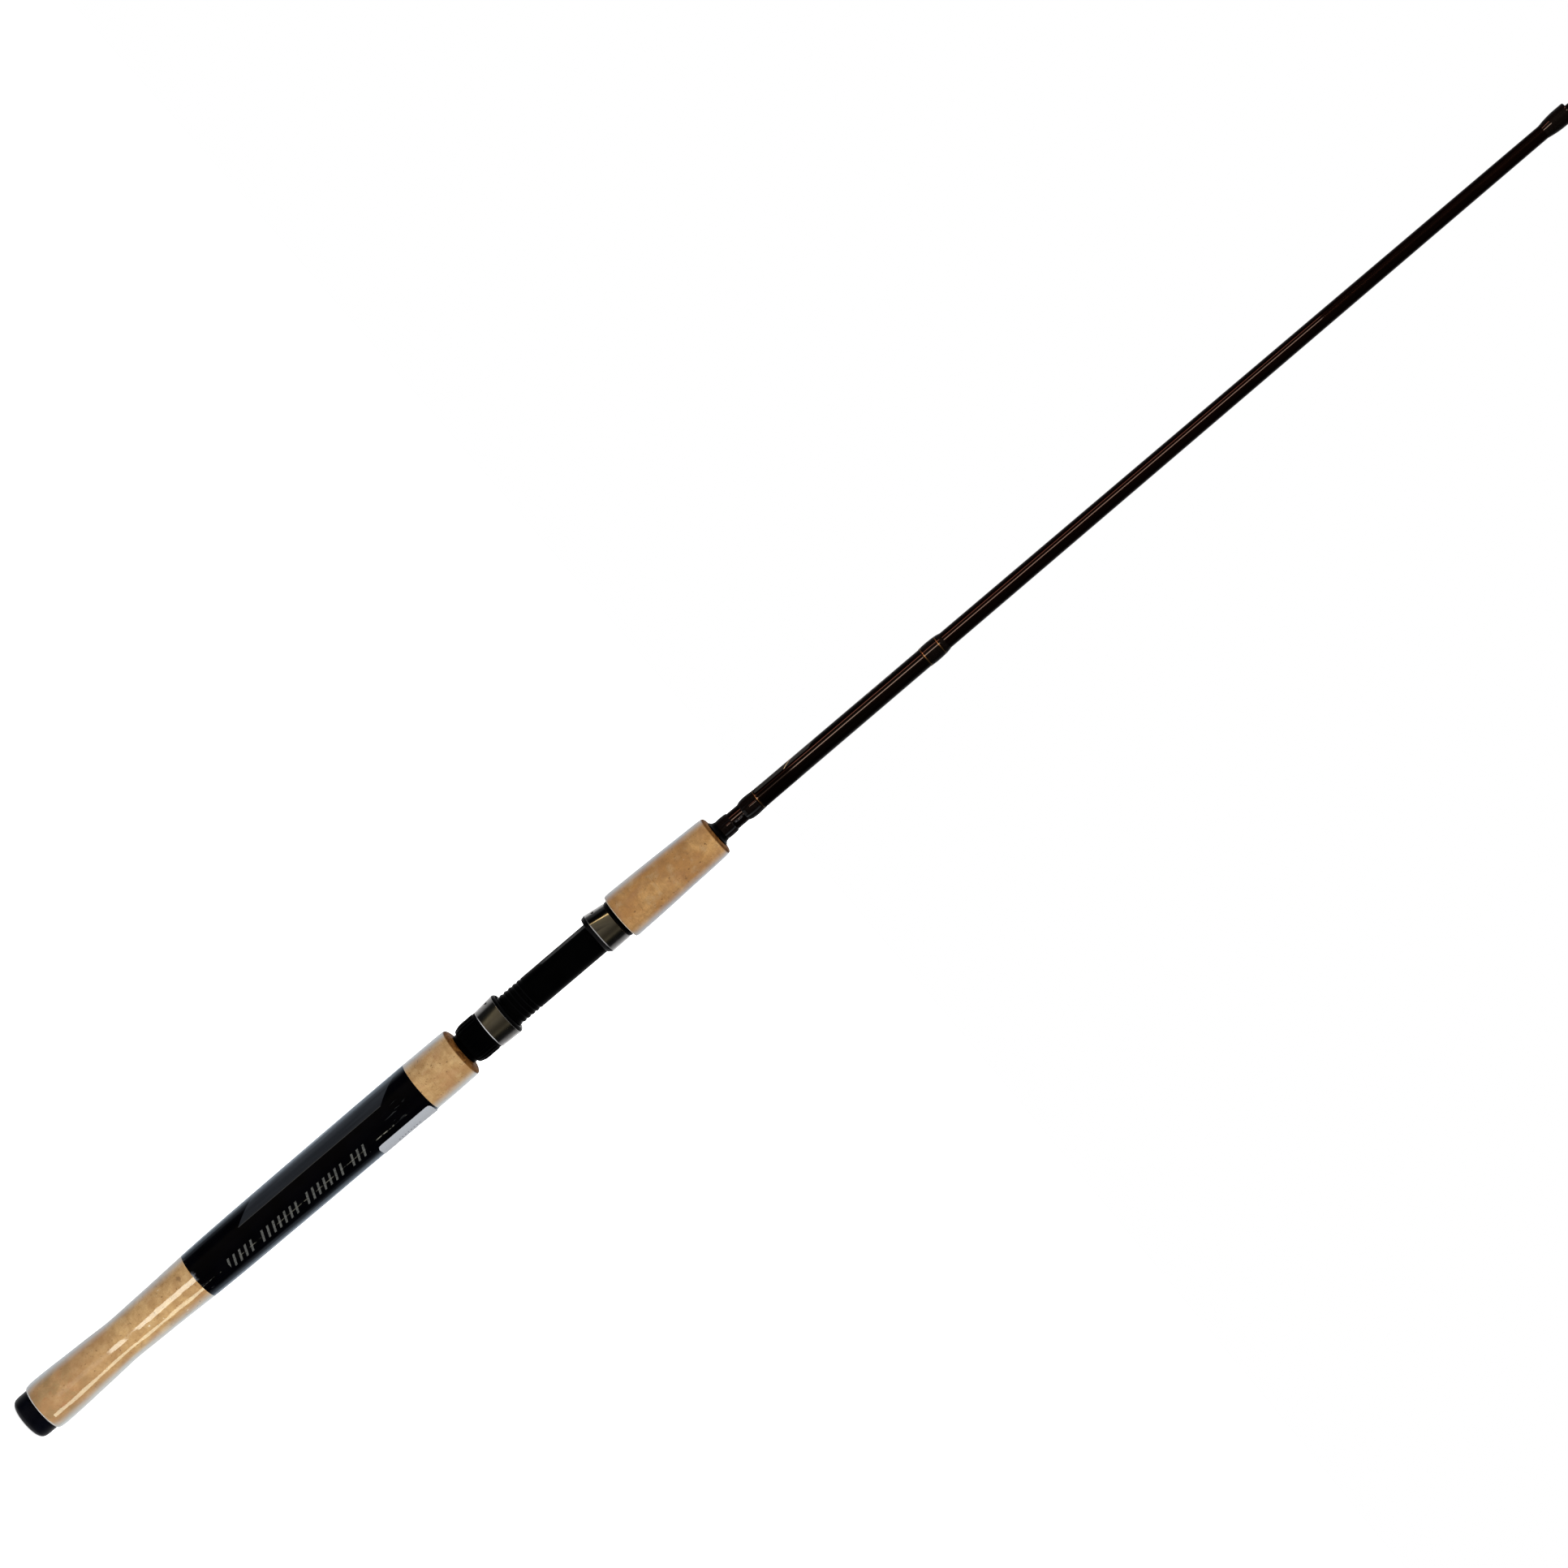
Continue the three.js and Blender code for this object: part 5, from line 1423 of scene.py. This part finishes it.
azimuth = math.radians(CAMERA_AZIMUTH)
TO_CAMERA = Vector((math.sin(azimuth), -math.cos(azimuth), 0))
RIGHT = Vector((math.cos(azimuth), math.sin(azimuth), 0))      # the camera's right
UP = Vector((0, 0, 1))


def studio_floor():
    """Pale, softly glowing disc, unseen in reflections and casting nothing."""
    mesh = bpy.data.meshes.new("studio_floor")
    radius, sides, level = 6.0, 64, -0.0004
    verts = [(0, 0, level)]
    for k in range(sides):
        verts.append((radius * math.cos(k / sides * TAU), radius * math.sin(k / sides * TAU),
                      level))
    mesh.from_pydata(verts, [], [(0, 1 + k, 1 + (k + 1) % sides) for k in range(sides)])
    floor = bpy.data.objects.new("studio_floor", mesh)
    scene.collection.objects.link(floor)
    mat = Material("studio_floor_pale")
    mat.colour = mat.tones(mat.noise(scale=0.01, detail=2), 0.3, 0.7,
                           (0.86, 0.86, 0.86), (0.89, 0.89, 0.89))
    mesh.materials.append(mat.finish(rough=0.8, spec=0.1, glow=(1, 1, 1), glow_strength=0.88))
    floor.visible_glossy = False
    floor.visible_diffuse = False
    floor.visible_shadow = False


def studio_world():
    """White to the camera, even grey as diffuse light, and a shaded room in reflections."""
    # (degrees round from the camera, colour)
    around = [
        (180, (1.0, 1.0, 1.0)), (158, (0.95, 0.96, 0.98)), (130, (0.38, 0.385, 0.40)),
        (108, (0.20, 0.20, 0.205)), (93, (0.010, 0.010, 0.010)), (70, (0.006, 0.006, 0.005)),
        (58, (0.02, 0.018, 0.012)), (46, (0.105, 0.09, 0.058)), (20, (0.085, 0.072, 0.048)),
        (0, (0.10, 0.086, 0.06))]
    # (share towards the camera's right, brightness), for the half on the camera's side
    sideways = [(-0.65, 0.70), (-0.26, 0.60), (0.0, 0.42), (0.26, 0.28), (0.5, 0.22),
                (0.85, 0.40)]
    world = bpy.data.worlds.new("studio")
    scene.world = world
    world.use_nodes = True
    graph = Graph(world.node_tree)
    direction = graph.node("ShaderNodeTexCoord").outputs["Generated"]
    level = graph.vector("MULTIPLY", direction, (1, 1, 0))[0]
    level = graph.vector("NORMALIZE", level)[0]
    towards = graph.vector("DOT_PRODUCT", level, TO_CAMERA)["Value"]
    room = graph.gradient(
        graph.calc("MULTIPLY_ADD", towards, 0.5, 0.5),
        [(0.5 + 0.5 * math.cos(math.radians(turn)), colour) for turn, colour in around])
    rightward = graph.vector("DOT_PRODUCT", level, RIGHT)["Value"]
    uneven = graph.gradient(
        graph.calc("MULTIPLY_ADD", rightward, 0.5, 0.5),
        [(share * 0.5 + 0.5, (tone, tone, tone)) for share, tone in sideways])
    near_side = graph.ramp(towards, 0.0, 0.35)
    tone = graph.node("ShaderNodeMix", near_side, None, 0.5, uneven,
                      data_type="FLOAT").outputs[0]
    room = graph.scale(graph.scale(room, tone), 2.0)
    # ceiling above, bright table below
    upward = graph.node("ShaderNodeSeparateXYZ", direction).outputs[2]
    room = graph.mix(graph.ramp(upward, 0.72, 0.98), room, (0.5, 0.51, 0.53))
    below = graph.ramp(upward, -0.85, -0.5, first=1.0, last=0.0)
    room = graph.mix(below, room, (0.95, 0.95, 0.97))

    def background(colour):
        return graph.node("ShaderNodeBackground", colour, 1.0).outputs[0]

    rays = graph.node("ShaderNodeLightPath").outputs
    lit = graph.node("ShaderNodeMixShader", rays["Is Glossy Ray"],
                     background((0.43, 0.435, 0.44)), background(room))
    seen = graph.node("ShaderNodeMixShader", rays["Is Camera Ray"], lit.outputs[0],
                      background((1, 1, 1)))
    graph.node("ShaderNodeOutputWorld", seen.outputs[0])


def sun(name, turn, elevation, strength, angle, colour=(1, 1, 1)):
    """Soft daylight, unseen in the gloss; turn is degrees from the camera to its right."""
    light = bpy.data.lights.new(name, "SUN")
    light.energy = strength
    light.angle = math.radians(angle)
    light.color = colour
    obj = bpy.data.objects.new(name, light)
    scene.collection.objects.link(obj)
    turn, elevation = math.radians(turn), math.radians(elevation)
    direction = ((TO_CAMERA * math.cos(turn) + RIGHT * math.sin(turn)) * math.cos(elevation)
                 + UP * math.sin(elevation))
    obj.rotation_euler = direction.to_track_quat("Z", "Y").to_euler()
    obj.visible_glossy = False


def strip(name, receivers, turn, z, distance, width, length, radiance, colour):
    """Upright soft box facing the rod, lighting only its receivers."""
    light = bpy.data.lights.new(name, "AREA")
    light.shape = "RECTANGLE"
    light.size, light.size_y = width, length
    light.energy = radiance * width * length * math.pi
    light.color = colour
    obj = bpy.data.objects.new(name, light)
    scene.collection.objects.link(obj)
    turn = math.radians(turn)
    direction = TO_CAMERA * math.cos(turn) + RIGHT * math.sin(turn)
    obj.location = direction * distance + UP * z
    across = UP.cross(direction).normalized()
    obj.rotation_euler = Matrix((across, UP, direction)).transposed().to_euler()
    obj.visible_camera = False
    obj.light_linking.receiver_collection = receivers


def lit_group(name, objects):
    group = bpy.data.collections.new(name)
    for obj in objects:
        group.objects.link(obj)
    return group


def made_of(*looks):
    materials = [material for material, _ in looks]
    return [obj for obj in bpy.data.objects if obj.type == "MESH" and obj.name not in NODES
            and any(slot.material in materials for slot in obj.material_slots)]


def lights():
    sun("key_front", turn=6, elevation=40, strength=1.55, angle=20, colour=(1.0, 0.975, 0.94))
    sun("key_side", turn=62, elevation=35, strength=0.45, angle=30)
    sun("fill_back", turn=180, elevation=50, strength=1.2, angle=40)
    sun("fill_left", turn=-120, elevation=40, strength=0.7, angle=40)
    tubes = lit_group("lit_tubes", made_of(BLANK, LABEL))
    wraps = lit_group("lit_wraps", made_of(WRAP, TRIM, WIRE, CERAMIC))
    grip = lit_group("lit_cork", [bpy.data.objects["rear_grip_cork"]])
    hoods = lit_group("lit_hoods", [bpy.data.objects[name] for name in
                                    ("sliding_hood_cover", "fixed_hood_cover")])
    # two warm lines along the tubes and windings, two on the cork, one gold on the hoods
    for tag, group, foot in (("tube", tubes, 0.380), ("wrap", wraps, 0.385)):
        for k, (lo, hi) in enumerate(((foot, 0.905), (1.15, 1.61)), 1):
            span = dict(z=(lo + hi) / 2, distance=1.0, length=hi - lo)
            strip(f"line_{tag}_a{k}", group, turn=-56, width=0.12, radiance=10.0,
                  colour=(1.0, 0.36, 0.24), **span)
            strip(f"line_{tag}_b{k}", group, turn=-18, width=0.16, radiance=19.0,
                  colour=(1.0, 0.68, 0.52), **span)
    strip("line_grip_a", grip, turn=61, z=-0.03, distance=0.55, width=0.14, length=0.20,
          radiance=8.0, colour=(0.97, 1.0, 0.76))
    strip("line_grip_b", grip, turn=2, z=0.0, distance=0.55, width=0.20, length=0.15,
          radiance=10.5, colour=(0.98, 1.0, 0.86))
    strip("line_hood", hoods, turn=-56, z=0.6, distance=1.0, width=0.11, length=0.5,
          radiance=2.1, colour=(1.0, 0.72, 0.34))


def photo_camera():
    """Camera above the view's middle, its picture plane kept parallel to the rod.

    It looks slightly down while the picture plane stays upright. That sheared frame is
    split into a stretched mount and a turned camera.
    """
    distance, rise = 3.0, 0.2306
    view_z, view_right = 0.4994, 0.00246         # middle of the view
    view_width, sensor = 0.7918, 36.0
    along, across = 0.76184548, 0.6477588        # the picture's lean, as cosine and sine
    data = bpy.data.cameras.new("photo_camera")
    data.sensor_width = sensor
    data.lens = sensor * math.hypot(distance, rise) / view_width
    data.clip_start, data.clip_end = 0.02, 50
    camera = bpy.data.objects.new("photo_camera", data)
    scene.collection.objects.link(camera)
    picture_right = UP * along + RIGHT * across
    picture_up = UP * across - RIGHT * along
    aim = (TO_CAMERA * distance + UP * rise).normalized()
    shear_right, shear_up = picture_right.dot(aim), picture_up.dot(aim)
    shear = math.hypot(shear_right, shear_up)
    turn = [Vector((shear_right / shear, shear_up / shear, sign)).normalized()
            for sign in (1, -1)]
    turn.append(turn[0].cross(turn[1]))
    stretch = [math.sqrt(1 + shear), math.sqrt(1 - shear), 1.0]
    axes = [(picture_right * axis.x + picture_up * axis.y + aim * axis.z) / factor
            for axis, factor in zip(turn, stretch)]
    mount = bpy.data.objects.new("camera_mount", None)
    scene.collection.objects.link(mount)
    mount.rotation_mode = "QUATERNION"
    mount.rotation_quaternion = Matrix(axes).transposed().to_quaternion()
    mount.scale = stretch
    mount.location = UP * (view_z + rise) + RIGHT * view_right + TO_CAMERA * distance
    camera.parent = mount
    camera.rotation_mode = "QUATERNION"
    camera.rotation_quaternion = Matrix(turn).to_quaternion()
    scene.camera = camera


studio_floor()
studio_world()
lights()
photo_camera()

bpy.context.view_layer.update()
